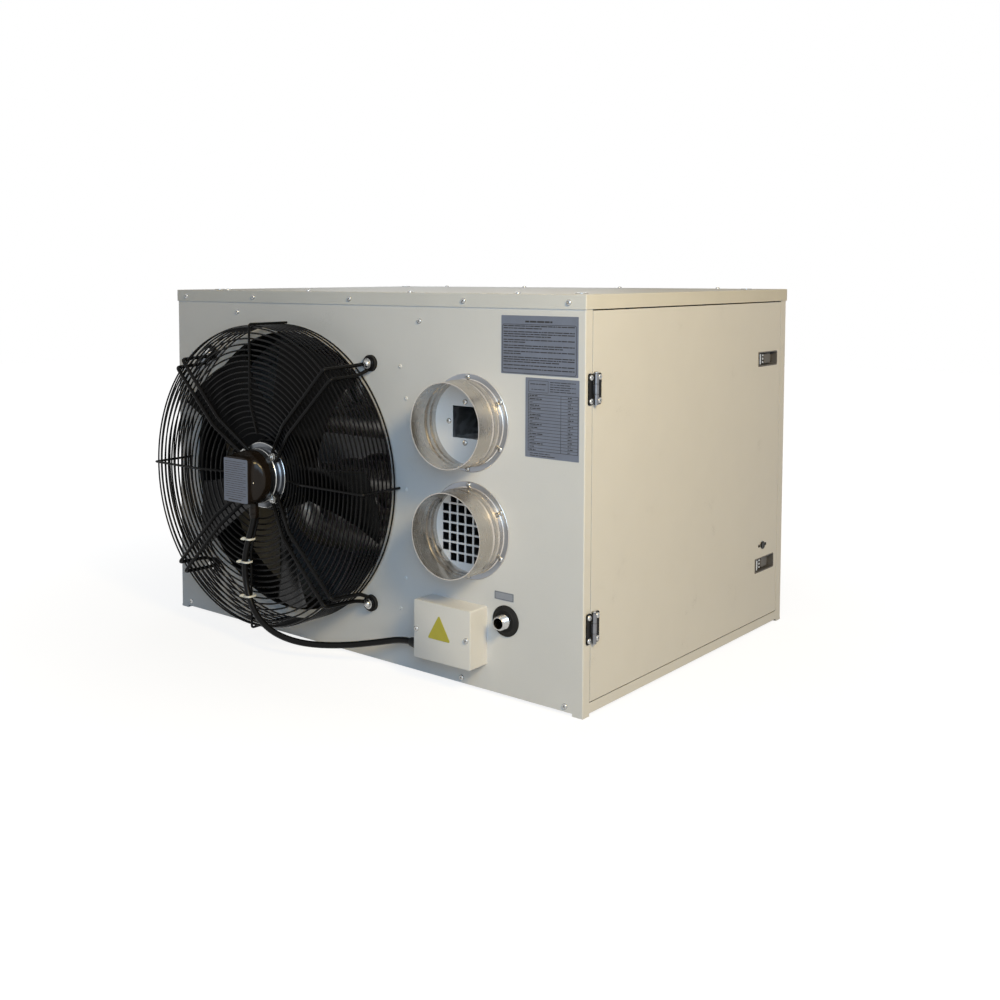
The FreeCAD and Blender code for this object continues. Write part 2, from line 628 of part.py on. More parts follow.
def make_lead():
    route = lead_route()
    radii = []
    for before, corner, after in zip(route, route[1:], route[2:]):
        shorter = min((corner - before).Length, (after - corner).Length)
        turn = (corner - before).getAngle(after - corner)
        radii.append(0.45 * shorter / math.tan(turn / 2))
    path = bent_path(route, radii)
    lead = swept(path, size("LeadRadius"))
    print("lead radii", [round(radius) for radius in radii], "length", round(path.Length, 1),
          "volume ratio", round(lead.Volume / (math.pi * size("LeadRadius") ** 2 * path.Length), 4))
    piece("fan_lead", shaped("lead", lead))
    ties = []
    for left, right, front, back, z in ((273.4, 286, -89.9, -75.4, 179), (271, 286, -97.2, -81.7, 142.7),
                                        (280.7, 293.8, -99.8, -81.7, 88.3)):
        outer = block((left - 1.2, right + 1.2), (front - 1.2, back + 1.2), (z - 2, z + 2))
        inner = block((left, right), (front, back), (z - 3, z + 3))
        ties.append(cut(outer, inner))
    piece("lead_ties", *ties)
    centre = ("-BushY", "BushZ")
    piece("lead_bush", fuse(taper(("570", *centre), "+X", 6.5, 9, 14),
                            rod(("584", *centre), "+X", 11, "BoxLeft - 584"),
                            rod(("BoxLeft", *centre), "+X", 7.8, 8)))


def make_junction_box():
    shell = block(("BoxLeft", "BoxRight"), ("-BoxDepth + Sheet", "0"), ("BoxBottom", "BoxTop"))
    room = block(("BoxLeft + Sheet", "BoxRight - Sheet"), ("-BoxDepth", "-Sheet"),
                 ("BoxBottom + Sheet", "BoxTop - Sheet"))
    entry = rod(("BoxLeft - 2", "-BushY", "BushZ"), "+X", 7.9, 6)
    back = rod(("BoxLeft + 70", "-2 * Sheet", "BoxBottom + 30"), "+Y", 12, "3 * Sheet")
    piece("junction_box", cut(shell, room, entry, back))
    piece("junction_cover", block(("BoxLeft", "BoxRight"), ("-BoxDepth", "-BoxDepth + Sheet"),
                                  ("BoxBottom", "BoxTop")))
    base = block(("BoxLeft + 15", "BoxLeft + 85"), ("-12", "-Sheet"), ("BoxBottom + 50", "BoxBottom + 70"))
    posts = [rod((f"BoxLeft + {22 + 11 * i}", "-12", "BoxBottom + 60"), "-Y", 4, 5) for i in range(6)]
    piece("terminal_block", fuse(base, *posts))
    marker = padded("marker_pad", "XZ_Plane", [("0", "0"), ("42.4", "0"), ("21.2", "36.7")], 0.4)
    piece("marker_plate", marker, at=("620.1", "-BoxDepth", "75"))


def make_plates():
    """Bare plates and stickers: a notice, a data plate, an inlet tag and the motor's plate."""
    thin = ("-0.5", "0")
    on_motor = ("-MotorBoxFront - 0.5", "-MotorBoxFront")
    piece("blank_plates",
          block(("722", "850"), thin, ("467.7", "549.8")),
          block(("764", "852"), thin, ("353", "464")),
          block(("711.7", "745.3"), thin, ("141.4", "153.4")),
          block(("FanX - 30.6", "FanX + 25.6"), on_motor, ("FanZ - 36.9", "FanZ + 32.9")))


# ---------------------------------------------------------------- gas train, burners, heat exchanger

def tube_rows():
    return [f"FirstTube + {i} * TubePitch" for i in range(4)]


def make_gas_train():
    piece("gas_grommet", turned("grommet_turned", [
        ("PipeRadius - 0.5", "-5"), ("GrommetRadius - 6", "-5"), ("GrommetRadius", "-2"),
        ("GrommetRadius", "0"), ("18", "0"), ("18", "Sheet"), ("GrommetRadius", "Sheet"),
        ("GrommetRadius", "4"), ("PipeRadius - 0.5", "4"),
    ]), at=("GasX", "0", "GasZ"))
    piece("gas_pipe", turned("pipe_turned", [
        ("PipeBore", "-PipeOut"), ("PipeRadius - 0.8", "-PipeOut"), ("PipeRadius", "-PipeOut + 0.8"),
        ("PipeRadius", "-5.4"), ("PipeRadius - 0.5", "-5.4"), ("PipeRadius - 0.5", "110"),
        ("PipeBore", "110"),
    ]), at=("GasX", "0", "GasZ"))
    body = block(("GasX - 33", "GasX + 33"), ("110", "176"), ("GasZ - 30", "GasZ + 30"))
    head = rod(("GasX + 12", "130", "GasZ + 30"), "+Z", 15, 12)
    spindle = rod(("GasX - 15", "155", "GasZ + 28"), "+Z", 3, 14)
    piece("gas_valve", fuse(body, head, spindle))
    knob = cut(fuse(rod(("GasX - 15", "155", "GasZ + 31"), "+Z", 14, 14),
                    block(("GasX - 17", "GasX - 13"), ("142", "168"), ("GasZ + 45", "GasZ + 50"))),
               rod(("GasX - 15", "155", "GasZ + 30"), "+Z", "3 + RunningGap", 12.3))
    piece("valve_knob", knob)
    main = rod(("GasX", "176", "GasZ"), "+Y", 9, "FirstTube + 3 * TubePitch - 176 + 25")
    jets = [rod(("GasX", y, "GasZ"), "-X", 5, 24) for y in tube_rows()]
    piece("gas_manifold", fuse(main, *jets))


def make_burners():
    start = "PartitionX + Sheet"
    burners = []
    for y in tube_rows():
        head = rod((f"{start} + 8", y, "LowPass"), "+X", 20, 40)
        neck = taper((f"{start} + 48", y, "LowPass"), "+X", 20, 13, 25)
        tube = rod((f"{start} + 73", y, "LowPass"), "+X", 13, 45)
        flare = taper((f"{start} + 118", y, "LowPass"), "+X", 13, 20, 20)
        bore = rod((f"{start} - 1", y, "LowPass"), "+X", 11, 160)
        burners.append(cut(fuse(head, neck, tube, flare), bore))
    piece("burners", *burners)
    rack = block((f"{start} + 90", f"{start} + 92"), ("FirstTube - 35", "FirstTube + 3 * TubePitch + 35"),
                 ("FootDrop + Sheet", "LowPass"))
    seats = [rod((f"{start} + 85", y, "LowPass"), "+X", 13, 14) for y in tube_rows()]
    piece("burner_rack", cut(rack, *seats))


def tube_shape(y, radius):
    """A serpentine of four passes, one above the other."""
    low, rise = size("LowPass"), size("PassRise")
    left, right, wall = size("TurnLeft"), size("TurnRight"), size("PartitionX")
    corners = [(wall, 0), (left, 0), (left, 1), (right, 1), (right, 2), (left, 2), (left, 3), (wall, 3)]
    points = [Vector(x, y, low + level * rise) for x, level in corners]
    turn = rise / 2 - 0.5
    return swept(bent_path(points, [turn] * 6), radius)


def make_heat_exchanger():
    outer, wall = size("TubeRadius"), size("TubeWall")
    tubes = []
    for i in range(4):
        y = size("FirstTube") + i * size("TubePitch")
        tubes.append(shaped(f"tube_{i + 1}", tube_shape(y, outer).cut(tube_shape(y, outer - wall))))
    piece("heat_tubes", *tubes)
    start = "PartitionX + Sheet"
    y_span = ("FirstTube - 35", "FirstTube + 3 * TubePitch + 35")
    z_mid = "LowPass + 3 * PassRise"
    shell = block((start, "CollectorRight"), y_span, (f"{z_mid} - 37", f"{z_mid} + 37"))
    room = block(("PartitionX", "CollectorRight - Sheet"), (f"{y_span[0]} + Sheet", f"{y_span[1]} - Sheet"),
                 (f"{z_mid} - 37 + Sheet", f"{z_mid} + 37 - Sheet"))
    throat = rod(("CollectorRight - 5", "WheelY", "WheelZ"), "+X", 30, 10)
    piece("flue_collector", cut(shell, room, throat))


def make_draught_fan():
    """Draws the burnt gas out of the collector and blows it down a square duct to the flue."""
    left, right = "ScrollLeft", "ScrollRight"
    collar = rod(("CollectorRight", "WheelY", "WheelZ"), "+X", 33, f"{left} - CollectorRight + 1")
    scroll = rod((left, "WheelY", "WheelZ"), "+X", "ScrollRadius", f"{right} - {left}")
    duct_low = "FlueZ - OutletSide / 2"
    half = "OutletSide / 2"
    duct = block((f"OutletX - {half} - Sheet", f"OutletX + {half} + Sheet"), ("Sheet", "WheelY"),
                 (f"{duct_low} - Sheet", f"{duct_low} + OutletSide + Sheet"))
    collar_room = rod(("CollectorRight - 1", "WheelY", "WheelZ"), "+X", 30, 60)
    scroll_room = rod((f"{left} + Sheet", "WheelY", "WheelZ"), "+X", "ScrollRadius - Sheet",
                      f"{right} - {left} - 2 * Sheet")
    duct_room = block((f"OutletX - {half}", f"OutletX + {half}"), ("0", "WheelY"),
                      (duct_low, f"{duct_low} + OutletSide"))
    shaft_hole = rod((f"{right} - 5", "WheelY", "WheelZ"), "+X", 6, 10)
    piece("draught_housing", cut(fuse(collar, scroll, duct), collar_room, scroll_room, duct_room, shaft_hole))
    disc = rod((f"{right} - 8", "WheelY", "WheelZ"), "+X", 54, 2)
    hub = rod((f"{right} - 22", "WheelY", "WheelZ"), "+X", 9, 16)
    rim = rod((f"{left} + 5", "WheelY", "WheelZ"), "+X", 54, f"{right} - {left} - 13")
    hollow = rod((f"{left} + 4", "WheelY", "WheelZ"), "+X", 48, f"{right} - {left} - 12")
    slots = []
    for i in range(12):
        slot = doc.addObject("Part::Box", "slot")
        bind(slot, Length=f"{right} - {left} - 20", Width=120, Height=6)
        slot.Placement = FreeCAD.Placement(Vector(), Rotation(Vector(1, 0, 0), i * 15), Vector(0, 60, 3))
        slots.append(slot)
    cage = cut(rim, hollow)
    slot_group = fuse(*slots)
    put(slot_group, (f"{left} + 9", "WheelY - 60", "WheelZ - 3"))
    bore = rod((f"{right} - 23", "WheelY", "WheelZ"), "+X", "3 + RunningGap", 20)
    piece("draught_wheel", cut(fuse(disc, hub, cut(cage, slot_group)), bore))
    case = rod((right, "WheelY", "WheelZ"), "+X", 36, 52)
    shaft = rod((f"{right} - 20", "WheelY", "WheelZ"), "+X", 3, 22)
    piece("draught_motor", fuse(case, shaft))


def make_controls():
    start = "PartitionX + Sheet"
    switch = fuse(rod((start, "575", "470"), "+X", 30, 18),
                  rod((f"{start} + 18", "575", "470"), "+X", 20, 10),
                  rod((f"{start} + 28", "567", "470"), "+X", 3, 12),
                  rod((f"{start} + 28", "583", "470"), "+X", 3, 12))
    piece("pressure_switch", switch)
    piece("control_box", cut(block(("620", "790"), ("Depth - 60", "Depth - 2 * Sheet"), ("60", "230")),
                             block(("622", "788"), ("Depth - 58", "Depth - 2 * Sheet - 2"), ("62", "228"))))


# ---------------------------------------------------------------- door

def latch_levels():
    return ("LatchUpper", "LatchLower")


def make_door():
    span = ("FrontReturn + DoorGap", "Depth - RearReturn - DoorGap")
    tall = ("DoorBottom", "DoorTop")
    skin = block(("Width - DoorFold", "Width"), span, tall)
    room = block(("Width - DoorFold - 1", "Width - Sheet"), (f"{span[0]} + Sheet", f"{span[1]} - Sheet"),
                 ("DoorBottom + Sheet", "DoorTop - Sheet"))
    tools = [room, rod(("Width - 5", "ResetY", "ResetZ"), "+X", 7, 8)]
    for side in (-1, 1):
        tools.append(rod(("Width - 5", f"ResetY + {side} * 12.4", "ResetZ"), "+X", 1.6, 8))
    for z in latch_levels():
        half = "LatchHeight / 2"
        tools.append(block(("Width - 5", "Width + 1"), ("LatchStart", "LatchStart + LatchLength"),
                           (f"{z} - {half}", f"{z} + {half}")))
        tools.append(block(("Width - 11.4", "Width - 7"), (f"{span[1]} - 4", f"{span[1]} + 1"),
                           (f"{z} - 6.6", f"{z} + 6.6")))
    piece("door", cut(skin, *tools))


def make_latches():
    """Flush slide latches: pushed towards the door's edge, the bolt goes behind the frame."""
    trays = []
    for name, z in zip(("upper", "lower"), latch_levels()):
        half = "LatchHeight / 2"
        start, end = "LatchStart", "LatchStart + LatchLength"
        shell = block(("Width - LatchDepth", "Width"), (start, end), (f"{z} - {half}", f"{z} + {half}"))
        room = block(("Width - LatchDepth + Sheet", "Width + 1"), (f"{start} + Sheet", f"{end} - Sheet"),
                     (f"{z} - {half} + Sheet", f"{z} + {half} - Sheet"))
        slot = block(("Width - 11.2", "Width - 7.2"), (f"{end} - 3", f"{end} + 1"),
                     (f"{z} - 6.4", f"{z} + 6.4"))
        trays.append(cut(shell, room, slot))
        plate = block(("Width - 11", "Width - 7.4"), (f"{start} + 3", f"{start} + 58"),
                      (f"{z} - 10", f"{z} + 10"))
        bolt = block(("Width - 10.8", "Width - 7.6"), (f"{start} + 58", "Depth - RearReturn - DoorGap"),
                     (f"{z} - 6", f"{z} + 6"))
        grips = [block(("Width - 7.4", "Width - 1"), (f"{start} + {low}", f"{start} + {low + 3}"),
                       (f"{z} - 9", f"{z} + 9")) for low in (5, 13)]
        piece(f"latch_slider_{name}", fuse(plate, bolt, *grips))
    piece("latch_trays", *trays)


def make_reset():
    """Manual-reset thermostat on the back of the door, its button through the door."""
    wall = "Width - Sheet"
    plate = block((f"{wall} - 1.2", wall), ("ResetY - 16.5", "ResetY + 16.5"), ("ResetZ - 8", "ResetZ + 8"))
    can = rod((f"{wall} - 10", "ResetY", "ResetZ"), "+X", 9, 9)
    hole = rod((f"{wall} - 6", "ResetY", "ResetZ"), "+X", 5.2, 8)
    rivets = []
    for side in (-1, 1):
        rivets.append(taper(("Width", f"ResetY + {side} * 12.4", "ResetZ"), "+X", 2.6, 1.4, 1.2))
        rivets.append(rod((wall, f"ResetY + {side} * 12.4", "ResetZ"), "+X", 1.5, "Sheet"))
    piece("reset_thermostat", cut(fuse(plate, can), hole), *rivets)
    piece("reset_button", fuse(rod((f"{wall} - 3.4", "ResetY", "ResetZ"), "+X", 4.9, 5.6),
                               rod((f"{wall} + 2", "ResetY", "ResetZ"), "+X", 6.4, 2)))


def hinge_knuckle(low, high, level, side, bore):
    """A knuckle with its tongue to the leaf; side is -1 on the frame, 1 on the door."""
    barrel = rod(("Width + HingeOut", "HingeY", f"{level} + {low}"), "+Z",
                 "KnuckleRadius", f"{high} - ({low})")
    ends = ("HingeY - 5", "HingeY - 1") if side < 0 else ("HingeY + 1", "HingeY + 5")
    tongue = block(("Width + 0.3", "Width + LeafThick"), ends, (f"{level} + {low}", f"{level} + {high}"))
    hole = rod(("Width + HingeOut", "HingeY", f"{level} + {low} - 1"), "+Z", bore, f"{high} - ({low}) + 2")
    return cut(fuse(barrel, tongue), hole)


def make_hinges():
    frame_leaves, door_leaves, pins = [], [], []
    for z in ("HingeUpper", "HingeLower"):
        tall = (f"{z} - LeafHalf", f"{z} + LeafHalf")
        thick = ("Width", "Width + LeafThick")
        middle = hinge_knuckle("-KnuckleHalf", "KnuckleHalf", z, -1, "PinRadius")
        frame_leaves.append(fuse(block(thick, ("6", "FrontReturn"), tall), middle))
        gap = "KnuckleHalf + 0.3"
        below = hinge_knuckle("-LeafHalf", f"-({gap})", z, 1, "PinRadius + RunningGap")
        above = hinge_knuckle(gap, "LeafHalf", z, 1, "PinRadius + RunningGap")
        door_leaves.append(fuse(block(thick, ("HingeY + 4.5", "37.7"), tall), below, above))
        shank = rod(("Width + HingeOut", "HingeY", f"{z} - LeafHalf - 1"), "+Z",
                    "PinRadius", "2 * LeafHalf + 1.4")
        cap = rod(("Width + HingeOut", "HingeY", f"{z} + LeafHalf + 0.3"), "+Z", "KnuckleRadius - 0.6", 2)
        pins.append(fuse(shank, cap))
    piece("frame_hinge_leaves", *frame_leaves)
    piece("door_hinge_leaves", *door_leaves)
    piece("hinge_pins", *pins)


# ---------------------------------------------------------------- louvres

def make_louvres():
    """Outlet blades, each on its own two pins, tilted down towards the room at rest."""
    for i, level in enumerate(louvre_levels(), start=1):
        clear = 2
        blade = padded(f"louvre_pad_{i}", "YZ_Plane", [
            ("-LouvreHalf", "-0.6"), ("LouvreHalf - 4", "-0.6"), ("LouvreHalf", "-2.6"),
            ("LouvreHalf", "-1.2"), ("LouvreHalf - 4", "0.8"), ("-LouvreHalf", "0.8"),
        ], f"OutletRight - OutletLeft - {2 * clear}")
        blade.Placement.Rotation = Rotation(Vector(1, 0, 0), -size("LouvreTilt"))
        put(blade, (f"OutletLeft + {clear}", "LouvreY", level))
        pins = [rod(("OutletLeft - 4", "LouvreY", level), "+X", "LouvrePin", 14),
                rod(("OutletRight - 10", "LouvreY", level), "+X", "LouvrePin", 14)]
        piece(f"louvre_{i}", fuse(blade, *pins))


def build():
    make_base()
    make_posts()
    make_fan_panel()
    make_outlet_panel()
    make_lid()
    make_hanging_nuts()
    make_side_and_partition()
    make_ring()
    make_guard()
    make_motor()
    make_impeller()
    make_spigots()
    make_fasteners()
    make_lead()
    make_junction_box()
    make_plates()
    make_gas_train()
    make_burners()
    make_heat_exchanger()
    make_draught_fan()
    make_controls()
    make_door()
    make_latches()
    make_reset()
    make_hinges()
    make_louvres()
    doc.recompute()


def check():
    """Stops before anything is written if an object failed or a sub-part isn't sound."""
    for thing in doc.Objects:
        if any(word in state for state in thing.State for word in ("Invalid", "Error")):
            raise RuntimeError(f"{thing.Label} failed: {thing.State}")
    for part in NODES:
        if part.Shape.isNull() or not part.Shape.isValid() or not part.Shape.Solids:
            raise RuntimeError(f"{part.Label} has no valid solid")


def export():
    os.makedirs("parts", exist_ok=True)
    for old in os.listdir("parts"):
        os.remove(os.path.join("parts", old))
    whole = FreeCAD.BoundBox()
    for part in NODES:
        part.Shape.exportStep(f"parts/{part.Label}.step")
        whole.add(part.Shape.BoundBox)
    print(len(NODES), "sub-parts; box", whole)


build()
check()
export()
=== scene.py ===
"""Looks of the warm air unit heater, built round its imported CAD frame.

Every piece is drawn in millimetres from the fan face's lower left corner (X along the face,
Y into the casing, Z up), as the CAD is, and carried to the row's frame in metres at the end.
"""
import math

import bmesh
import bpy
from mathutils import Matrix, Vector


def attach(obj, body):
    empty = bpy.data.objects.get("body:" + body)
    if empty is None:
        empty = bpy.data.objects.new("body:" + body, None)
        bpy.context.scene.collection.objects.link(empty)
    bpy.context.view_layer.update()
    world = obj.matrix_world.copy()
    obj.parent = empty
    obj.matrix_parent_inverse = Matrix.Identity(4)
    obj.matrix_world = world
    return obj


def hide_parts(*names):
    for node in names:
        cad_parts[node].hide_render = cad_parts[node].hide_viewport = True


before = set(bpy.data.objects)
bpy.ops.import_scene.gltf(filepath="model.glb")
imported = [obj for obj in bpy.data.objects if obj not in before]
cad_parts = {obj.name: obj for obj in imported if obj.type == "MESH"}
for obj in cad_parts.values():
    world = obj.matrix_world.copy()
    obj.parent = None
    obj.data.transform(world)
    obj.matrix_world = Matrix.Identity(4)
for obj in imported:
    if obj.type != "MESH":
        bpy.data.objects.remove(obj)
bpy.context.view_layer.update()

MM = 0.001
ORIGIN = (433.4, 266.6)
TO_ROW = Matrix.Scale(MM, 4) @ Matrix.Translation((-ORIGIN[0], -ORIGIN[1], 0))

# Sizes shared with the CAD, in millimetres.
WIDTH, DEPTH, HEIGHT, SHEET = 861, 639, 580, 1.5
FAN_X, FAN_Z, FOOT = 283.6, 280.7, 189
SPIGOTS = {"flue_spigot": (663, 392), "air_spigot": (665, 234)}
GAS_X, GAS_Z = 731.7, 112.2
BOX_X, BOX_Z, BOX_DEPTH = (593, 698), (41, 127.6), 40.6
BUSH_Y, BUSH_Z = -20.3, 54
LEAD_START, LEAD_RADIUS, LEAD_LENGTH = (283.6, -76.6, 216.5), 5, 450.7
GUARD_Y, DISH_RADIUS, DISH_SLOPE, MOTOR_PLATE_Y = -84, 121, 0.3, -113
HINGES, HINGE_Y, HINGE_OUT = (452, 123), 21, 3.8
LEAF_HALF, LEAF, KNUCKLE = 21.5, 2, 7
LATCHES, LATCH_START, LATCH_END, LATCH_HALF = {"upper": 463.5, "lower": 112.6}, 533, 605, 12.3
RESET_Y, RESET_Z = 560.5, 145.5
NOTICE, DATA_PLATE, TAG = (722, 850, 467.7, 549.8), (764, 852, 353, 464), (711.7, 745.3, 141.4, 153.4)


# ---------------------------------------------------------------- camera

def make_camera():
    data = bpy.data.cameras.new("camera")
    data.sensor_width, data.lens = 36, 43.34
    data.shift_x, data.shift_y = 0.1137, -0.1485
    yaw, pitch, roll = 0.7280, 0.0651, -0.0023
    ahead = Vector((-math.sin(yaw) * math.cos(pitch), math.cos(yaw) * math.cos(pitch), -math.sin(pitch)))
    right = Vector((math.cos(yaw), math.sin(yaw), 0))
    up = right.cross(ahead)
    across = right * math.cos(roll) + up * math.sin(roll)
    upward = up * math.cos(roll) - right * math.sin(roll)
    camera = bpy.data.objects.new("camera", data)
    camera.matrix_world = Matrix((across, upward, -ahead)).transposed().to_4x4()
    camera.matrix_world.translation = (1.2980, -1.6440, 0.6093)
    bpy.context.scene.collection.objects.link(camera)
    bpy.context.scene.camera = camera


# ---------------------------------------------------------------- materials

def add(tree, kind, inputs=None, **settings):
    """One shader node; an input may be a number, a colour or another node's output."""
    made = tree.nodes.new("ShaderNode" + kind)
    for key, value in settings.items():
        setattr(made, key, value)
    for socket, value in (inputs or {}).items():
        if isinstance(value, bpy.types.NodeSocket):
            tree.links.new(value, made.inputs[socket])
        else:
            made.inputs[socket].default_value = value
    return made


def math_node(tree, operation, first, second=0.0):
    return add(tree, "Math", {0: first, 1: second}, operation=operation).outputs[0]


def ramp(tree, factor, *stops):
    """Colours along a factor, from (place, colour) stops."""
    made = add(tree, "ValToRGB", {0: factor})
    elements = made.color_ramp.elements
    while len(elements) < len(stops):
        elements.new(0.5)
    for element, (place, colour) in zip(elements, stops):
        element.position = place
        element.color = (*colour, 1)
    return made.outputs[0]


def spread(tree, factor, low, high):
    return add(tree, "MapRange", {0: factor, 1: 0.25, 2: 0.75, 3: low, 4: high}).outputs[0]


def noise(tree, place, scale, detail=3.0):
    return add(tree, "TexNoise", {"Vector": place, "Scale": scale, "Detail": detail}).outputs[0]


def shade(colour, factor):
    return tuple(min(1, channel * factor) for channel in colour)


def inside_casing(tree, place):
    """1 on the inner sides of the casing's sheets, which are coloured dark grey: their grey wash coat,
    darkened as painted shade of the casing's inside.
    """
    middle, half = (-0.0029, 0.053, 0.290), (0.4297, 0.3186, 0.2892)
    away = add(tree, "VectorMath", {0: place, 1: middle}, operation="SUBTRACT").outputs[0]
    share = add(tree, "VectorMath", {0: away, 1: half}, operation="DIVIDE").outputs[0]
    reach = add(tree, "VectorMath", {0: share}, operation="ABSOLUTE").outputs[0]
    across, along, up = add(tree, "SeparateXYZ", {0: reach}).outputs
    most = math_node(tree, "MAXIMUM", math_node(tree, "MAXIMUM", across, along), up)
    return math_node(tree, "LESS_THAN", most, 1.0)


def surface(name, colour, rough, metal=0.0, vary=0.05, blotch=30, grain=900, bump=0.00003,
            specular=0.5, coat=0.0, pattern="noise", centre=(0, 0), inner_coat_and_shade=None):
    """A finish whose colour and roughness drift over the surface, with a fine grain in relief.

    pattern is noise, spangle (zinc crystals) or spun (turned rings round an axis along Y through
    centre). The last argument gives the dark grey of the casing's inner sides: their wash coat, darkened as
    painted shade.
    """
    made = bpy.data.materials.new(name)
    made.use_nodes = True
    tree = made.node_tree
    shader = tree.nodes["Principled BSDF"]
    place = add(tree, "TexCoord").outputs["Object"]
    if pattern == "spun":
        middle = ((centre[0] - ORIGIN[0]) * MM, 0, centre[1] * MM)
        away = add(tree, "VectorMath", {0: place, 1: middle}, operation="SUBTRACT").outputs[0]
        split = add(tree, "SeparateXYZ", {0: away})
        flat = add(tree, "CombineXYZ", {0: split.outputs[0], 2: split.outputs[2]}).outputs[0]
        radius = add(tree, "VectorMath", {0: flat}, operation="LENGTH").outputs["Value"]
        lines = add(tree, "CombineXYZ", {0: radius, 1: split.outputs[1]}).outputs[0]
        fine = noise(tree, lines, grain, 4)
    else:
        fine = noise(tree, place, grain, 2)
    if pattern == "spangle":
        cells = add(tree, "TexVoronoi", {"Vector": place, "Scale": blotch, "Randomness": 1.0})
        broad = add(tree, "SeparateColor", {0: cells.outputs["Color"]}).outputs[0]
    else:
        broad = noise(tree, place, blotch, 4)
    tone = math_node(tree, "ADD", math_node(tree, "MULTIPLY", broad, 0.7),
                     math_node(tree, "MULTIPLY", fine, 0.3))
    tint = ramp(tree, tone, (0.3, shade(colour, 1 - vary)), (0.7, shade(colour, 1 + vary)))
    # Inner sides of the casing: wash coat darkened as painted shade.
    if inner_coat_and_shade:
        tint = add(tree, "MixRGB", {0: inside_casing(tree, place), 1: tint, 2: (*inner_coat_and_shade, 1)}).outputs[0]
    tree.links.new(tint, shader.inputs["Base Color"])
    tree.links.new(spread(tree, tone, rough * 0.85, rough * 1.15), shader.inputs["Roughness"])
    relief = add(tree, "Bump", {"Strength": 1.0, "Distance": bump, "Height": fine})
    tree.links.new(relief.outputs[0], shader.inputs["Normal"])
    shader.inputs["Metallic"].default_value = metal
    shader.inputs["Specular IOR Level"].default_value = specular
    shader.inputs["Coat Weight"].default_value = coat
    shader.inputs["Coat Roughness"].default_value = 0.12
    return made


# Its inner-side grey is partly the sheets' wash coat and partly painted shade of the casing's inside.
PAINT = surface("powder_coat", (0.71, 0.71, 0.71), 0.3, vary=0.02, blotch=14, grain=650, bump=0.00001,
                specular=0.28, inner_coat_and_shade=(0.14, 0.145, 0.15))
DUSTY_PAINT = surface("dusty_powder_coat", (0.70, 0.70, 0.69), 0.5, vary=0.03, blotch=14, grain=650,
                      bump=0.00001, specular=0.04)
WIRE = surface("dipped_black", (0.006, 0.006, 0.0065), 0.24, vary=0.3, blotch=60, grain=500,
               bump=0.00002, specular=0.09)
BLADE = surface("blade_black", (0.004, 0.004, 0.0045), 0.22, vary=0.25, blotch=25, grain=420,
                bump=0.00002, specular=0.08)
GREY_PLASTIC = surface("moulded_grey", (0.105, 0.10, 0.098), 0.45, vary=0.12, blotch=50, grain=1400,
                       bump=0.00004, specular=0.3)
PLASTIC = surface("moulded_black", (0.014, 0.014, 0.015), 0.42, vary=0.2, blotch=50, grain=1400,
                  bump=0.00004, specular=0.2)
SHEATH = surface("cable_black", (0.006, 0.006, 0.0065), 0.3, vary=0.25, blotch=40, grain=1100,
                 bump=0.00004, specular=0.12)
RUBBER = surface("rubber", (0.016, 0.016, 0.016), 0.6, vary=0.25, blotch=80, grain=1600,
                 bump=0.00006, specular=0.15)
ZINC = surface("bright_zinc", (0.45, 0.45, 0.44), 0.24, metal=1.0, vary=0.12, blotch=160, grain=1800,
               bump=0.00002)
BARREL = surface("hinge_barrel", (0.20, 0.205, 0.22), 0.36, metal=1.0, vary=0.12, blotch=120, grain=1200,
                 bump=0.00003)
GALVANISED = surface("galvanised", (0.55, 0.56, 0.57), 0.42, metal=1.0, vary=0.14, blotch=110,
                     grain=900, bump=0.00002, pattern="spangle")
CASTING = surface("turned_casting", (0.15, 0.16, 0.175), 0.33, metal=1.0, vary=0.1, blotch=40,
                  grain=700, bump=0.00004, pattern="spun", centre=(FAN_X, FAN_Z))
BRONZE = surface("motor_enamel", (0.012, 0.0085, 0.0065), 0.2, vary=0.2, blotch=35, grain=600,
                 bump=0.00002, specular=0.13, coat=0.06)
CAST_GREY = surface("die_cast", (0.42, 0.43, 0.44), 0.45, metal=1.0, vary=0.1, blotch=60, grain=700,
                    bump=0.00008)
TUBE_STEEL = surface("aluminised_tube", (0.50, 0.48, 0.45), 0.4, metal=1.0, vary=0.2, blotch=26,
                     grain=800, bump=0.00004)
BURNER_STEEL = surface("burner_steel", (0.40, 0.37, 0.34), 0.38, metal=1.0, vary=0.25, blotch=45,
                       grain=900, bump=0.00004)
BRASS = surface("brass", (0.62, 0.46, 0.20), 0.3, metal=1.0, vary=0.12, blotch=80, grain=900, bump=0.00003)
NYLON = surface("white_nylon", (0.78, 0.78, 0.74), 0.4, vary=0.04, blotch=90, grain=900, bump=0.00003)
YELLOW = surface("yellow_film", (0.47, 0.42, 0.035), 0.35, vary=0.06, blotch=60, grain=900, bump=0.00001)
FILM = surface("grey_film", (0.160, 0.184, 0.250), 0.36, vary=0.1, blotch=50, grain=800, bump=0.00001)
INK = surface("black_ink", (0.012, 0.012, 0.014), 0.45, vary=0.08, blotch=300, grain=900, bump=0.00001)
PLATE_GREY = surface("etched_plate", (0.27, 0.29, 0.33), 0.4, metal=0.4, vary=0.08, blotch=80,
                     grain=1200, bump=0.00001)
DARK_INK = surface("dark_ink", (0.05, 0.055, 0.07), 0.45, vary=0.1, blotch=300, grain=900, bump=0.00001)
CREAM_PLASTIC = surface("switch_shell", (0.55, 0.53, 0.47), 0.45, vary=0.05, blotch=60, grain=1000,
                        bump=0.00004)
BLUE_KNOB = surface("knob_blue", (0.03, 0.08, 0.22), 0.4, vary=0.15, blotch=80, grain=1200, bump=0.00004)
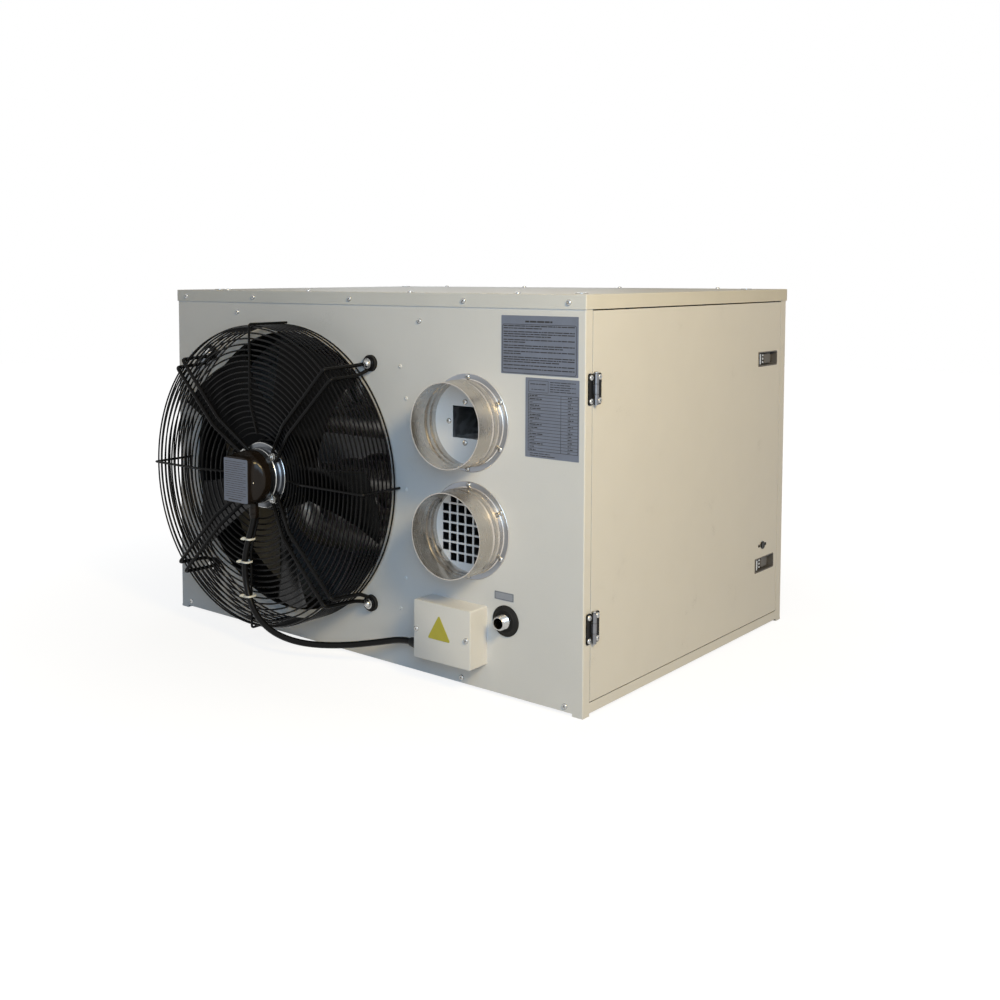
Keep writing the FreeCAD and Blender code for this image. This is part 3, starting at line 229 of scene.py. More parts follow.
# The spun aluminium's warm tint is partly painted reflection of warm light.
SPUN = {name: surface(f"spun_{name}", (0.54, 0.505, 0.465), 0.27, metal=0.9, vary=0.1, blotch=30,
                      grain=520, bump=0.00004, pattern="spun", centre=centre)
        for name, centre in SPIGOTS.items()}
# The flat flange faces get a darker, bluer copy of the spun finish: painted shade and painted reflection.
SHADED_FLANGE_FACE = {name: surface(f"rim_{name}", (0.32, 0.34, 0.38), 0.4, metal=0.8, vary=0.1, blotch=30,
                          grain=520, bump=0.00004, pattern="spun", centre=centre)
            for name, centre in SPIGOTS.items()}


# ---------------------------------------------------------------- shapes

AXES = {
    "X": (Vector((1, 0, 0)), Vector((0, 1, 0)), Vector((0, 0, 1))),
    "Y": (Vector((0, 1, 0)), Vector((0, 0, 1)), Vector((1, 0, 0))),
    "Z": (Vector((0, 0, 1)), Vector((1, 0, 0)), Vector((0, 1, 0))),
}


class Build:
    """One piece's mesh, gathered from simple forms drawn in millimetres."""

    def __init__(self):
        self.mesh = bmesh.new()
        self.coat = 0

    def face(self, corners):
        made = self.mesh.faces.new(corners)
        made.material_index = self.coat
        made.smooth = True

    def skin(self, rows, wrap_rows=False, wrap_columns=False, caps=False):
        """Quads over a grid of points, given row by row."""
        grid = [[self.mesh.verts.new(point) for point in row] for row in rows]
        high, wide = len(grid), len(grid[0])
        for i in range(high if wrap_rows else high - 1):
            for j in range(wide if wrap_columns else wide - 1):
                above, beside = (i + 1) % high, (j + 1) % wide
                self.face((grid[i][j], grid[i][beside], grid[above][beside], grid[above][j]))
        if caps:
            self.face(grid[0][::-1])
            self.face(grid[-1])
        return grid

    def lathe(self, profile, centre, axis="Y", steps=96, closed=True):
        """A profile of (radius, height) points turned round an axis."""
        along, one, two = AXES[axis]
        centre = Vector(centre)
        rows = []
        for radius, height in profile:
            ring = []
            for k in range(steps):
                turn = 2 * math.pi * k / steps
                ring.append(centre + along * height + (one * math.cos(turn) + two * math.sin(turn)) * radius)
            rows.append(ring)
        grid = self.skin(rows, wrap_rows=closed, wrap_columns=True)
        poles = [vert for (radius, _), row in zip(profile, grid) if radius == 0 for vert in row]
        if poles:
            bmesh.ops.remove_doubles(self.mesh, verts=poles, dist=1e-4)

    def box(self, low, high, bevel=0.4, steps=2):
        low, high = Vector(low), Vector(high)
        before = set(self.mesh.verts)
        made = bmesh.ops.create_cube(self.mesh, size=1)["verts"]
        for vert in made:
            for i in range(3):
                vert.co[i] = low[i] if vert.co[i] < 0 else high[i]
        edges = list({edge for vert in made for edge in vert.link_edges})
        if bevel:
            bmesh.ops.bevel(self.mesh, geom=edges, offset=bevel, segments=steps, profile=0.5,
                            affect="EDGES", clamp_overlap=True)
        for face in self.mesh.faces:
            if face.verts[0] not in before:
                face.material_index = self.coat
                face.smooth = True

    def slab(self, outline, axis, low, high, bevel=0.3):
        """A flat plate of one outline; its two faces have a small chamfer round them."""
        middle = Vector((sum(p[0] for p in outline), sum(p[1] for p in outline))) / len(outline)
        rows = []
        for height, inset in ((low, bevel), (low + bevel, 0), (high - bevel, 0), (high, bevel)):
            ring = []
            for point in outline:
                away = Vector(point) - middle
                shrunk = middle + away * max(0, 1 - inset / max(away.length, 0.001))
                ring.append(self.lift(shrunk, axis, height))
            rows.append(ring)
        self.skin(rows, wrap_columns=True, caps=True)

    @staticmethod
    def lift(point, axis, height):
        across, up = point
        return {"X": (height, across, up), "Y": (across, height, up), "Z": (across, up, height)}[axis]

    def loop_band(self, outer, inner, axis, low, high):
        """A closed band between two outlines with the same number of points."""
        rows = [[self.lift(p, axis, h) for p in outline]
                for outline, h in ((outer, low), (outer, high), (inner, high), (inner, low))]
        self.skin(rows, wrap_rows=True, wrap_columns=True)

    def wires(self, splines, sides=2):
        """Round wires: each spline is (points, radius, cyclic) and follows its points smoothly."""
        curve = bpy.data.curves.new("wires", "CURVE")
        curve.dimensions, curve.bevel_depth, curve.bevel_resolution = "3D", 1.0, sides
        curve.use_fill_caps = True
        for points, radius, cyclic in splines:
            spline = curve.splines.new("NURBS")
            spline.points.add(len(points) - 1)
            for place, point in zip(spline.points, points):
                place.co, place.radius = (*point, 1), radius
            spline.order_u = 3
            spline.use_cyclic_u = cyclic
            spline.use_endpoint_u = not cyclic
            spline.resolution_u = 5
        holder = bpy.data.objects.new("wires", curve)
        bpy.context.scene.collection.objects.link(holder)
        shape = bpy.data.meshes.new_from_object(holder.evaluated_get(bpy.context.evaluated_depsgraph_get()))
        self.stamp(shape, [Matrix()])
        bpy.data.objects.remove(holder)
        bpy.data.meshes.remove(shape)

    def stamp(self, shape, places):
        """Copies of a ready mesh at each matrix."""
        for place in places:
            known = len(self.mesh.verts)
            faces = len(self.mesh.faces)
            self.mesh.from_mesh(shape)
            self.mesh.verts.ensure_lookup_table()
            self.mesh.faces.ensure_lookup_table()
            bmesh.ops.transform(self.mesh, matrix=place, verts=self.mesh.verts[known:])
            for face in self.mesh.faces[faces:]:
                face.material_index = self.coat
                face.smooth = True

    def done(self, name, body, slot, coats, replaces=(), angle=32):
        bmesh.ops.transform(self.mesh, matrix=TO_ROW, verts=self.mesh.verts)
        bmesh.ops.recalc_face_normals(self.mesh, faces=self.mesh.faces)
        shape = bpy.data.meshes.new(name)
        self.mesh.to_mesh(shape)
        self.mesh.free()
        shape.set_sharp_from_angle(angle=math.radians(angle))
        for coat in coats:
            shape.materials.append(coat)
        piece = bpy.data.objects.new(name, shape)
        bpy.context.scene.collection.objects.link(piece)
        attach(piece, body)
        if replaces:
            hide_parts(*replaces)
        return piece


def rounded(left, right, low, high, corner, steps=5):
    """Outline of a rectangle with rounded corners."""
    points = []
    centres = ((right - corner, high - corner), (left + corner, high - corner),
               (left + corner, low + corner), (right - corner, low + corner))
    for i, (x, z) in enumerate(centres):
        for k in range(steps + 1):
            turn = (i + k / steps) * math.pi / 2
            points.append((x + corner * math.cos(turn), z + corner * math.sin(turn)))
    return points


def circle(x, y, z, radius, count=72):
    turns = [2 * math.pi * k / count for k in range(count)]
    return [(x + radius * math.cos(turn), y, z + radius * math.sin(turn)) for turn in turns]


def around(angle, radius, offset, y):
    """A point round the fan's axis: out along an angle, then sideways."""
    out, side = (math.cos(angle), math.sin(angle)), (-math.sin(angle), math.cos(angle))
    return Vector((FAN_X + out[0] * radius + side[0] * offset, y,
                   FAN_Z + out[1] * radius + side[1] * offset))


# ---------------------------------------------------------------- cord

def make_lead():
    """The fan lead, on the CAD route's own points."""
    route = [LEAD_START, (282.8, -79, 203), (279.3, -83.9, 181), (276.8, -90, 157), (276.6, -92.4, 132),
             (280.5, -93, 108), (290, -94.2, 83), (311, -95.5, 57), (341, -93.5, 40), (376, -83.5, 30),
             (412, -66.5, 26.6), (460, -45.5, 31), (511, -28, 42.5), (552, -20.3, 54), (570, -20.3, 54)]
    curve = bpy.data.curves.new("motor_lead", "CURVE")
    curve.dimensions, curve.bevel_depth, curve.bevel_resolution = "3D", LEAD_RADIUS * MM, 6
    curve.resolution_u = 16
    spline = curve.splines.new("NURBS")
    spline.points.add(len(route) - 1)
    for place, point in zip(spline.points, route):
        place.co = (*(TO_ROW @ Vector(point)), 1)
    spline.order_u = 3
    spline.use_endpoint_u = True
    curve.materials.append(SHEATH)
    lead = bpy.data.objects.new("motor_lead", curve)
    bpy.context.scene.collection.objects.link(lead)
    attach(lead, "casing")
    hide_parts("fan_lead")
    return lead


def make_ties():
    """Three cable ties round the lead and the guard, each with its ratchet head at the left."""
    build = Build()
    strap = 1.2
    for left, right, front, back, z in ((273.4, 286, -89.9, -75.4, 179), (271, 286, -97.2, -81.7, 142.7),
                                        (280.7, 293.8, -99.8, -81.7, 88.3)):
        inner = rounded(left, right, front, back, 4.5)
        outer = rounded(left - strap, right + strap, front - strap, back + strap, 4.5 + strap)
        build.loop_band(outer, inner, "Z", z - 1.4, z + 1.4)
        build.box((left - 4.6, front - 1.4, z - 2.4), (left + 0.6, front + 3.8, z + 2.4), 0.8)
        build.box((left - 4, front - 4.2, z - 1.3), (left - 3, front - 1, z + 1.3), 0.3)
    return build.done("cable_ties", "casing", "white_nylon", [NYLON], ["lead_ties"])


def make_bush():
    """The flared black bush where the lead enters the junction box."""
    build = Build()
    profile = [(5.1, 570), (6.2, 570), (6.6, 570.6), (7.3, 575), (8.1, 580), (9, 583.4), (10.4, 584),
               (11, 585), (11, 588), (10.5, 588.4), (10.5, 589), (11, 589.4), (11, 592.2), (10.4, 592.9),
               (7.8, 592.9), (7.8, 601), (5.1, 601)]
    build.lathe(profile, (0, BUSH_Y, BUSH_Z), "X", 48)
    build.done("box_bush", "casing", "black_rubber", [RUBBER], ["lead_bush"])


# ---------------------------------------------------------------- fan

def make_guard():
    """Ring wires on four spokes and four double struts; the middle dips back to the motor."""
    build = Build()
    thin, medium, thick = 1.4, 2, 3
    rings = []
    for i in range(20):
        radius = 70 + 9.07 * i
        y = GUARD_Y + 2.9 + max(0, DISH_RADIUS - radius) * DISH_SLOPE
        rings.append((circle(FAN_X, y, FAN_Z, radius), thin, True))
    rings += [(circle(FAN_X, -73.5 + 9.2 * i, FAN_Z, 244.6), thin, True) for i in range(8)]
    build.wires(rings)
    path = [(69, -68.4), (112, -81.3), (DISH_RADIUS, GUARD_Y), (130, GUARD_Y), (238, GUARD_Y),
            (247.5, GUARD_Y), (247.5, -75), (247.5, -1)]
    build.wires([([around(k * math.pi / 2, radius, 0, y) for radius, y in path], medium, False)
                 for k in range(4)], 3)
    strut_y = GUARD_Y - 1
    path = [(47.5, 7.5, -61.8), (108, 8.8, -81.7), (118, 9, strut_y), (130, 9.1, strut_y),
            (235, 9.9, strut_y), (248.5, 10, strut_y), (249.1, 10, -74), (250.7, 10, -50), (251.5, 10, -30),
            (254, 8.2, -17), (259.5, 6, -7.2)]
    build.wires([([around((k + 0.5) * math.pi / 2, radius, side * offset, y) for radius, offset, y in path],
                  thick, False) for k in range(4) for side in (-1, 1)], 4)
    foot = FOOT * math.sqrt(2)
    for k in range(4):
        build.lathe([(4.3, -6), (4.3, -9), (10.4, -9), (11, -8.4), (11, -6.6), (10.4, -6)],
                    around((k + 0.5) * math.pi / 2, foot, 0, 0), steps=40)
    build.done("wire_guard", "casing", "black_paint", [WIRE], ["fan_guard"])


def make_guard_feet():
    """Rubber buffers under the guard's eyes and the domed bolts that hold them."""
    washers, bolts = Build(), Build()
    foot = FOOT * math.sqrt(2)
    for k in range(4):
        centre = around((k + 0.5) * math.pi / 2, foot, 0, 0)
        washers.lathe([(4.2, 0), (12.4, 0), (13, -0.7), (12.5, -2.2), (12.5, -3.8), (13, -5.3), (12.4, -6),
                       (4.2, -6)], centre, steps=48)
        bolts.lathe([(0, -15.4), (2, -15.4), (3.4, -15), (4.8, -14), (5.6, -12.6), (6.2, -10.4), (8.2, -10.2),
                     (8.2, -9.2), (4, -9.1), (4, 13), (0, 13)], centre, steps=32, closed=False)
    washers.done("guard_buffers", "casing", "black_rubber", [RUBBER], ["guard_washers"])
    bolts.done("guard_fixings", "casing", "bright_screw", [ZINC], ["guard_bolts"])


def make_fan_ring():
    """The deep-drawn inlet ring behind the panel's opening."""
    build = Build()
    profile = [(252, 1.6), (252, 3), (243, 3), (238.4, 4), (234.6, 6.4), (231.8, 9.6), (230.4, 13), (230, 17),
               (230, 60), (229.4, 62), (228.6, 62), (228.4, 60), (228.5, 17), (229, 12.6), (230.6, 8.8),
               (233.4, 5.4), (237, 3), (241.6, 1.7)]
    build.lathe(profile, (FAN_X, 0, FAN_Z), steps=180)
    build.done("inlet_ring", "casing", "black_paint", [BLADE], ["fan_ring"])


def make_motor():
    """The stator's flange and round body, its terminal box and its bolts."""
    build = Build()
    centre = (FAN_X, 0, FAN_Z)
    casting, turned_edge_highlight, black, enamel = range(4)
    for coat, steps, profile in (
            (casting, 128, [(44, -79), (44, -69.2)]),
            (casting, 128, [(45, -67.4), (45, -62), (44.6, -61.6), (44.6, -60.6), (45.2, -60), (46.4, -58.6),
                            (52.6, -58.6)]),
            (casting, 128, [(54, -57.3), (54, -51), (53, -50), (48, -50)]),
            # The two chamfer rings are bright zinc: turned metal, lightened further as a painted highlight on
            # the edges.
            (turned_edge_highlight, 128, [(44, -69.2), (44.3, -68.5), (44.9, -68), (45, -67.4)]),
            (turned_edge_highlight, 128, [(52.6, -58.6), (53.4, -58.5), (53.9, -58), (54, -57.3)]),
            (black, 96, [(48, -50), (48, -8), (6, -8), (6, 14), (0, 14)]),
            (enamel, 128, [(44, -90), (44, -79)])):
        build.coat = coat
        build.lathe(profile, centre, steps=steps, closed=False)
    build.lathe([(5.3, 213), (6.6, 213), (7.2, 213.8), (7.6, 217), (8, 217.6), (8, 220), (7.6, 220.5),
                 (7.6, 222), (8, 222.5), (8, 230), (7.4, 230.6), (7.4, 238), (5.3, 238)],
                (FAN_X, -77, 0), "Z", 40)
    build.done("motor_flange", "casing", "motor_casting", [CASTING, ZINC, BLADE, BRONZE], ["fan_motor"])

    box = Build()
    rows = []
    # depth, half width, half height, squareness and sideways shift of each section
    stations = ((-86, 43.9, 43.9, 2, 0), (-90, 43.9, 43.9, 2, 0), (-92, 43.4, 43.5, 2.1, 0.1),
                (-95, 41, 42.4, 2.5, 0.3), (-98.5, 36.5, 40.5, 3.4, 0.6), (-102, 32.4, 38.8, 4.8, 0.85),
                (-105.5, 30.4, 37.8, 6.5, 1), (-110.8, 29.7, 37.3, 7.5, 1), (-112.4, 29.3, 36.9, 7.3, 1),
                (-113, 28.4, 36, 7, 1))
    points = 120
    for y, wide, tall, power, shift in stations:
        ring = []
        for k in range(points):
            turn = 2 * math.pi * k / points
            across, up = math.cos(turn), math.sin(turn)
            reach = 1 / ((abs(across) / wide) ** power + (abs(up) / tall) ** power) ** (1 / power)
            ring.append((FAN_X - 2.4 * shift + reach * across, y, FAN_Z - 1.2 * shift + reach * up))
        rows.append(ring)
    box.skin(rows, wrap_columns=True, caps=True)
    box.done("motor_box", "casing", "black_plastic", [BRONZE], ["motor_terminal_box"])

    bolts = Build()
    for k in range(4):
        bolt = around((k + 0.5) * math.pi / 2, 48.7, 0, -65.9)
        bolts.lathe([(0, 7.2), (3, 7.2), (3, 0), (6.3, 0), (6.5, -0.4), (6.3, -1.6), (3.2, -1.6)], bolt,
                    steps=32, closed=False)
        turns = [(i + 0.3) * math.pi / 3 for i in range(6)]
        rows = [[bolt + Vector((half * math.cos(turn), y, half * math.sin(turn))) for turn in turns]
                for y, half in ((-1.5, 5.5), (-2, 5.7), (-4.7, 5.7), (-5.3, 4.9), (-5.3, 3))]
        bolts.skin(rows, wrap_columns=True, caps=True)
        bolts.lathe([(0, -7.8), (2.4, -7.8), (3, -7.3), (3, -5.2), (0, -5.2)], bolt, steps=20, closed=False)
    bolts.lathe([(0, 30.8), (1.1, 30.7), (1.8, 30.2), (2, 28.6), (0, 28.6)], (FAN_X, -103.8, FAN_Z - 4),
                "X", 20, closed=False)
    bolts.done("motor_bolts", "casing", "bright_screw", [ZINC], ["motor_nuts"])


def make_impeller():
    """The rotor cup and five sickle blades with twist and camber."""
    hub = Build()
    hub.lathe([(6.1, 20), (50, 20), (55, 19), (58.6, 16), (60, 12), (60, -39), (59.2, -41), (57.6, -42),
               (51.6, -42), (51, -41), (51, -4), (6.1, -4)], (FAN_X, 0, FAN_Z), steps=120)
    hub.done("rotor_cup", "impeller", "black_paint", [BLADE], ["impeller_hub"])

    build = Build()
    count, rows_out, columns = 5, 16, 12
    root, reach = 58, 165
    for k in range(count):
        tilt = math.radians(12 + 360 // count * k)
        sheets = []
        for face in (-1, 1):
            grid = []
            for i in range(rows_out):
                share = i / (rows_out - 1)
                radius = root + reach * share
                low = -52 + 46 * share - 50 * share ** 2
                high = 44 + 26 * share + 14 * share ** 2
                pitch = math.radians(36 - 13 * share)
                line = []
                for j in range(columns):
                    part = j / (columns - 1)
                    chord = low + (high - low) * part
                    camber = 7 * math.sin(math.pi * part) * (1 - 0.4 * share)
                    edge = min(part, 1 - part, (1 - share) * 2 + 0.02)
                    thick = 1.5 * min(1, 0.25 + edge * 9)
                    side = chord * math.cos(pitch)
                    depth = -20 - chord * math.sin(pitch) + camber + face * thick
                    turn = tilt - side / radius
                    line.append((FAN_X + radius * math.cos(turn), depth, FAN_Z - radius * math.sin(turn)))
                grid.append(line)
            sheets.append(grid)
        ring = [sheets[0][i] + sheets[1][i][::-1] for i in range(rows_out)]
        build.skin(ring, wrap_columns=True, caps=True)
    build.done("fan_blades", "impeller", "black_paint", [BLADE], ["impeller_blades"], angle=50)


# ---------------------------------------------------------------- spigots, screws, rivets

def make_spigots():
    """Spun flanged tubes with two rolled beads each."""
    outside = [(62.5, -56), (62.5, -27), (62.8, -25.8), (63.6, -24.4), (64, -23.5), (63.6, -22.6),
               (62.8, -21.2), (62.5, -20), (62.5, -15), (62.8, -13.8), (63.6, -12.4), (64, -11.5),
               (63.6, -10.6), (62.8, -9.2), (62.5, -8), (62.5, -3.6), (63, -2.2), (64.4, -1.4)]
    inside = [(radius - 1, y) for radius, y in outside[:-2]]
    profile = [(71.4, -1.4), (72, -1), (72, -0.3), (71.6, 0), (61.5, 0)] + inside[::-1] + outside
    for name, (x, z) in SPIGOTS.items():
        build = Build()
        build.lathe(profile, (x, 0, z), steps=144, closed=False)
        # Flange face: the darker, bluer copy of the spun finish, as painted shade and reflection.
        build.coat = 1
        build.lathe([(64.4, -1.4), (71.4, -1.4)], (x, 0, z), steps=144, closed=False)
        build.done(f"spun_{name}", "casing", "bare_aluminium", [SPUN[name], SHADED_FLANGE_FACE[name]], [name])


def screw_shape(radius, tall):
    """A pan head with a cross recess, its axis along -Y."""
    build = Build()
    rim = [(radius, 0), (radius, -tall * 0.45), (radius * 0.93, -tall * 0.66), (radius * 0.8, -tall * 0.84),
           (radius * 0.62, -tall * 0.96), (radius * 0.55, -tall)]
    steps = 24
    grid = build.skin([circle(0, y, 0, r, steps) for r, y in rim], wrap_columns=True)
    long, thin = radius * 0.5, radius * 0.13
    cross = [(long, -thin), (long, thin), (thin, thin), (thin, long), (-thin, long), (-thin, thin),
             (-long, thin), (-long, -thin), (-thin, -thin), (-thin, -long), (thin, -long), (thin, -thin)]
    mouth = [build.mesh.verts.new((x, -tall, z)) for x, z in cross]
    floor = [build.mesh.verts.new((x * 0.72, -tall * 0.35, z * 0.72)) for x, z in cross]
    corners = len(cross)
    edges = [build.mesh.edges.new((mouth[i], mouth[(i + 1) % corners])) for i in range(corners)]
    edges += [build.mesh.edges.get((grid[-1][i], grid[-1][(i + 1) % steps])) for i in range(steps)]
    bmesh.ops.triangle_fill(build.mesh, use_beauty=True, edges=edges)
    for i in range(corners):
        after = (i + 1) % corners
        build.face((mouth[i], mouth[after], floor[after], floor[i]))
    build.face(floor)
    build.face(grid[0])
    bmesh.ops.recalc_face_normals(build.mesh, faces=build.mesh.faces)
    shape = bpy.data.meshes.new("screw")
    build.mesh.to_mesh(shape)
    return shape


FACING = {
    "-Y": Matrix(),
    "+Y": Matrix.Rotation(math.pi, 4, "Z"),
    "+X": Matrix.Rotation(math.pi / 2, 4, "Z"),
    "+Z": Matrix.Rotation(-math.pi / 2, 4, "X"),
}


def placed(spots, seed=0):
    """Matrices for screws at (x, y, z, facing) spots, each turned by its own amount."""
    places = []
    for i, (x, y, z, facing) in enumerate(spots):
        own_turn = Matrix.Rotation((i * 2.399 + seed) % math.pi, 4, "Y")
        places.append(Matrix.Translation((x, y, z)) @ FACING[facing] @ own_turn)
    return places


def make_screws():
    screw = screw_shape(4, 2.6)
    spots = []
    for x, z in SPIGOTS.values():
        for i in range(6):
            turn = math.radians(30 + 60 * i)
            spots.append((x + 67.3 * math.cos(turn), -1.4, z + 67.3 * math.sin(turn), "-Y"))
    rim = HEIGHT - 11
    for x in (25.8, 203, 427.6, 654.8, 835.2):
        spots += [(x, -1.5, rim, "-Y"), (x, DEPTH + 1.5, rim, "+Y")]
    outlet_x, outlet_z = 657.5, 392
    spots += [(outlet_x + across, 0, outlet_z + up, "-Y")
              for across, up in ((30, 0), (-30, 0), (0, 30), (0, -30))]
    spots += [(x, 0, z, "-Y") for x, z in ((161.2, 543.3), (570.4, 537.6), (652, 12), (27, 13), (832.5, 12))]
    spots += [(x, y, HEIGHT, "+Z") for x in (120, 320, 540, 740) for y in (14, DEPTH - 14)]
    hinge_screws = [z + side * 16 for z in HINGES for side in (-1, 1)]
    spots += [(WIDTH + LEAF, 11, z, "+X") for z in hinge_screws]
    spots += [(x, -BOX_DEPTH, sum(BOX_Z) / 2, "-Y") for x in (BOX_X[0] + 5.5, BOX_X[1] - 6.5)]
    build = Build()
    build.stamp(screw, placed(spots))
    build.done("casing_screws", "casing", "bright_screw", [ZINC], ["panel_screws"])
    build = Build()
    build.stamp(screw, placed([(WIDTH + LEAF, 32, z, "+X") for z in hinge_screws], 1))
    build.done("hinge_screws", "service_door", "bright_screw", [ZINC], ["door_screws"])

    build = Build()
    for x, z in ((41.6, 468.8), (532.3, 467.6), (543.9, 419.3), (543.5, 280), (542.5, 143.3), (532.5, 94.1)):
        build.lathe([(3.1, 0), (3, -0.5), (2.4, -1), (1.6, -1.3), (1.2, -1.3), (1, -0.7), (0, -0.6)],
                    (x, 0, z), steps=24, closed=False)
    build.done("pop_rivets", "casing", "white_paint", [PAINT], ["partition_rivets"])


# ---------------------------------------------------------------- junction box, plates, gas pipe

def make_junction_box():
    """The box that the lead enters, its cover, and the plain triangle on the cover."""
    build = Build()
    left, right = BOX_X
    low, high = BOX_Z
    outer = rounded(left, right, low, high, 2.4)
    inner = rounded(left + SHEET, right - SHEET, low + SHEET, high - SHEET, 1)
    front = -BOX_DEPTH + 1.9
    softened = rounded(left + 0.3, right - 0.3, low + 0.3, high - 0.3, 2.1)
    rows = [[build.lift(p, "Y", y) for p in outline] for outline, y in (
        (outer, 0), (outer, front + 0.3), (softened, front), (inner, front), (inner, -SHEET))]
    build.skin(rows, wrap_columns=True, caps=True)
    build.done("lead_box", "casing", "white_paint", [PAINT], ["junction_box"])

    cover = Build()
    shrink = [(0.5, -BOX_DEPTH + 1.75), (0, -BOX_DEPTH + 1.5), (0, -BOX_DEPTH + 0.9),
              (0.25, -BOX_DEPTH + 0.35), (0.9, -BOX_DEPTH)]
    rows = [[cover.lift(p, "Y", y) for p in rounded(left + s, right - s, low + s, high - s, 2.6 - s)]
            for s, y in shrink]
    cover.skin(rows, wrap_columns=True, caps=True)
    cover.done("lead_box_cover", "casing", "white_paint", [PAINT], ["junction_cover"])

    marker = Build()
    corners = [(641.3, 111.7), (620.1, 75), (662.5, 75)]
    middle = Vector((641.3, 87.2))
    outline, radius = [], 1.8
    for corner in corners:
        inward = (middle - Vector(corner)).normalized()
        seat = Vector(corner) + inward * 2 * radius
        start = math.atan2(-inward.y, -inward.x) - math.pi / 3
        turns = [start + k * math.pi / 7.5 for k in range(6)]
        outline += [seat + radius * Vector((math.cos(turn), math.sin(turn))) for turn in turns]
    marker.slab(outline, "Y", -BOX_DEPTH, -BOX_DEPTH - 0.4, -0.12)
    marker.done("plain_triangle", "casing", "yellow_sticker", [YELLOW], ["marker_plate"])


def ruled(build, left, right, z, y, thick=0.5, seed=0, pieces=1):
    """A printed rule, whole or in strokes of uneven length, a hair proud of its plate."""
    edges = [0.0]
    for k in range(pieces):
        edges.append(edges[-1] + 1 + 0.6 * math.sin(7.3 * k + seed * 3.1))
    for start, end in zip(edges, edges[1:]):
        low = left + (right - left) * start / edges[-1]
        high = left + (right - left) * end / edges[-1] - (0.9 if pieces > 1 else 0)
        under, over = z - thick / 2, z + thick / 2
        corners = ((low, y, under), (high, y, under), (high, y, over), (low, y, over))
        build.face([build.mesh.verts.new(corner) for corner in corners])


def printed_frame(build, left, right, low, high, corner, y, thick=0.7):
    rims = [rounded(left + inset, right - inset, low + inset, high - inset, corner - inset)
            for inset in (0, thick)]
    build.skin([[build.lift(p, "Y", y) for p in rim] for rim in rims], wrap_columns=True)


def make_plates():
    """Plates and films; they carry ruled strokes only, and no lettering."""
    build = Build()
    front, ink = -0.5, -0.54
    film, black, etched, dark = range(4)
    build.coat = film
    for outline in (NOTICE, DATA_PLATE):
        build.slab(rounded(*outline, 1), "Y", front, 0, 0.1)
    build.coat = black
    ruled(build, 763, 809, 541.6, ink, 2.5, 2, 5)
    printed_frame(build, 723.6, 847.4, 469, 537.8, 3.6, ink)
    z, left, wide = 535.2, 726, 119
    for paragraph, lines in enumerate((2, 3, 2, 2, 2, 3, 1, 1)):
        for line in range(lines):
            short = 0.55 + 0.3 * math.sin(paragraph * 2.7) if line == lines - 1 and lines > 1 else 1
            ruled(build, left, left + wide * short, z, ink, 1.5, paragraph + line, round(15 * short))
            z -= 3.2
        z -= 1.7
    printed_frame(build, 769, 802, 443.8, 460.4, 1, ink, 0.5)
    ruled(build, 772, 799, 455.4, ink, 1.2, 1, 4)
    ruled(build, 774, 797, 448, ink, 0.9, 2, 4)
    for i in range(5):
        ruled(build, 805, 847 - 9 * (i % 2), 459 - 3.2 * i, ink, 1.1, i, 6)
    printed_frame(build, 768.6, 850.6, 362, 441.6, 0.8, ink)
    ruled(build, 822.4, 823, 401.8, ink, 79)
    for i in range(18):
        z = 437.2 - 4.42 * i
        if i < 17:
            ruled(build, 769, 850.2, z, ink, 0.55)
        ruled(build, 771, 785 + 9 * math.sin(i * 2.2), z + 2, ink, 1.5, i, 3)
        ruled(build, 834, 841 + 3 * math.sin(i * 2.9), z + 2, ink, 1.5, i, 2)
    for i in range(2):
        ruled(build, 772, 806 + 8 * i, 358.8 - 3 * i, ink, 1.1, i, 5)
    build.coat = etched
    build.slab(rounded(*TAG, 1.2), "Y", front, 0, 0.1)
    build.coat = dark
    left, right, low, high = TAG
    rims = [rounded(left + inset, right - inset, low + inset, high - inset, corner)
            for inset, corner in ((0.9, 0.9), (1.4, 0.6))]
    build.skin([[build.lift(p, "Y", ink) for p in rim] for rim in rims], wrap_columns=True)
    build.coat = film
    build.slab(rounded(FAN_X - 30.6, FAN_X + 25.6, FAN_Z - 36.9, FAN_Z + 32.9, 1.6), "Y",
               MOTOR_PLATE_Y - 0.44, MOTOR_PLATE_Y, 0.1)
    build.coat = black
    ink = MOTOR_PLATE_Y - 0.5
    for i in range(17):
        z = FAN_Z + 28 - 3.55 * i
        ruled(build, FAN_X - 27.5, FAN_X + 22.5 - 7 * (i % 3 == 1), z, ink, 0.9, i, 7)
    ruled(build, FAN_X - 20, FAN_X + 12, FAN_Z - 33, ink, 1.6, 3, 3)
    build.done("plates_and_films", "casing", "grey_plate", [FILM, INK, PLATE_GREY, DARK_INK],
               ["blank_plates"])


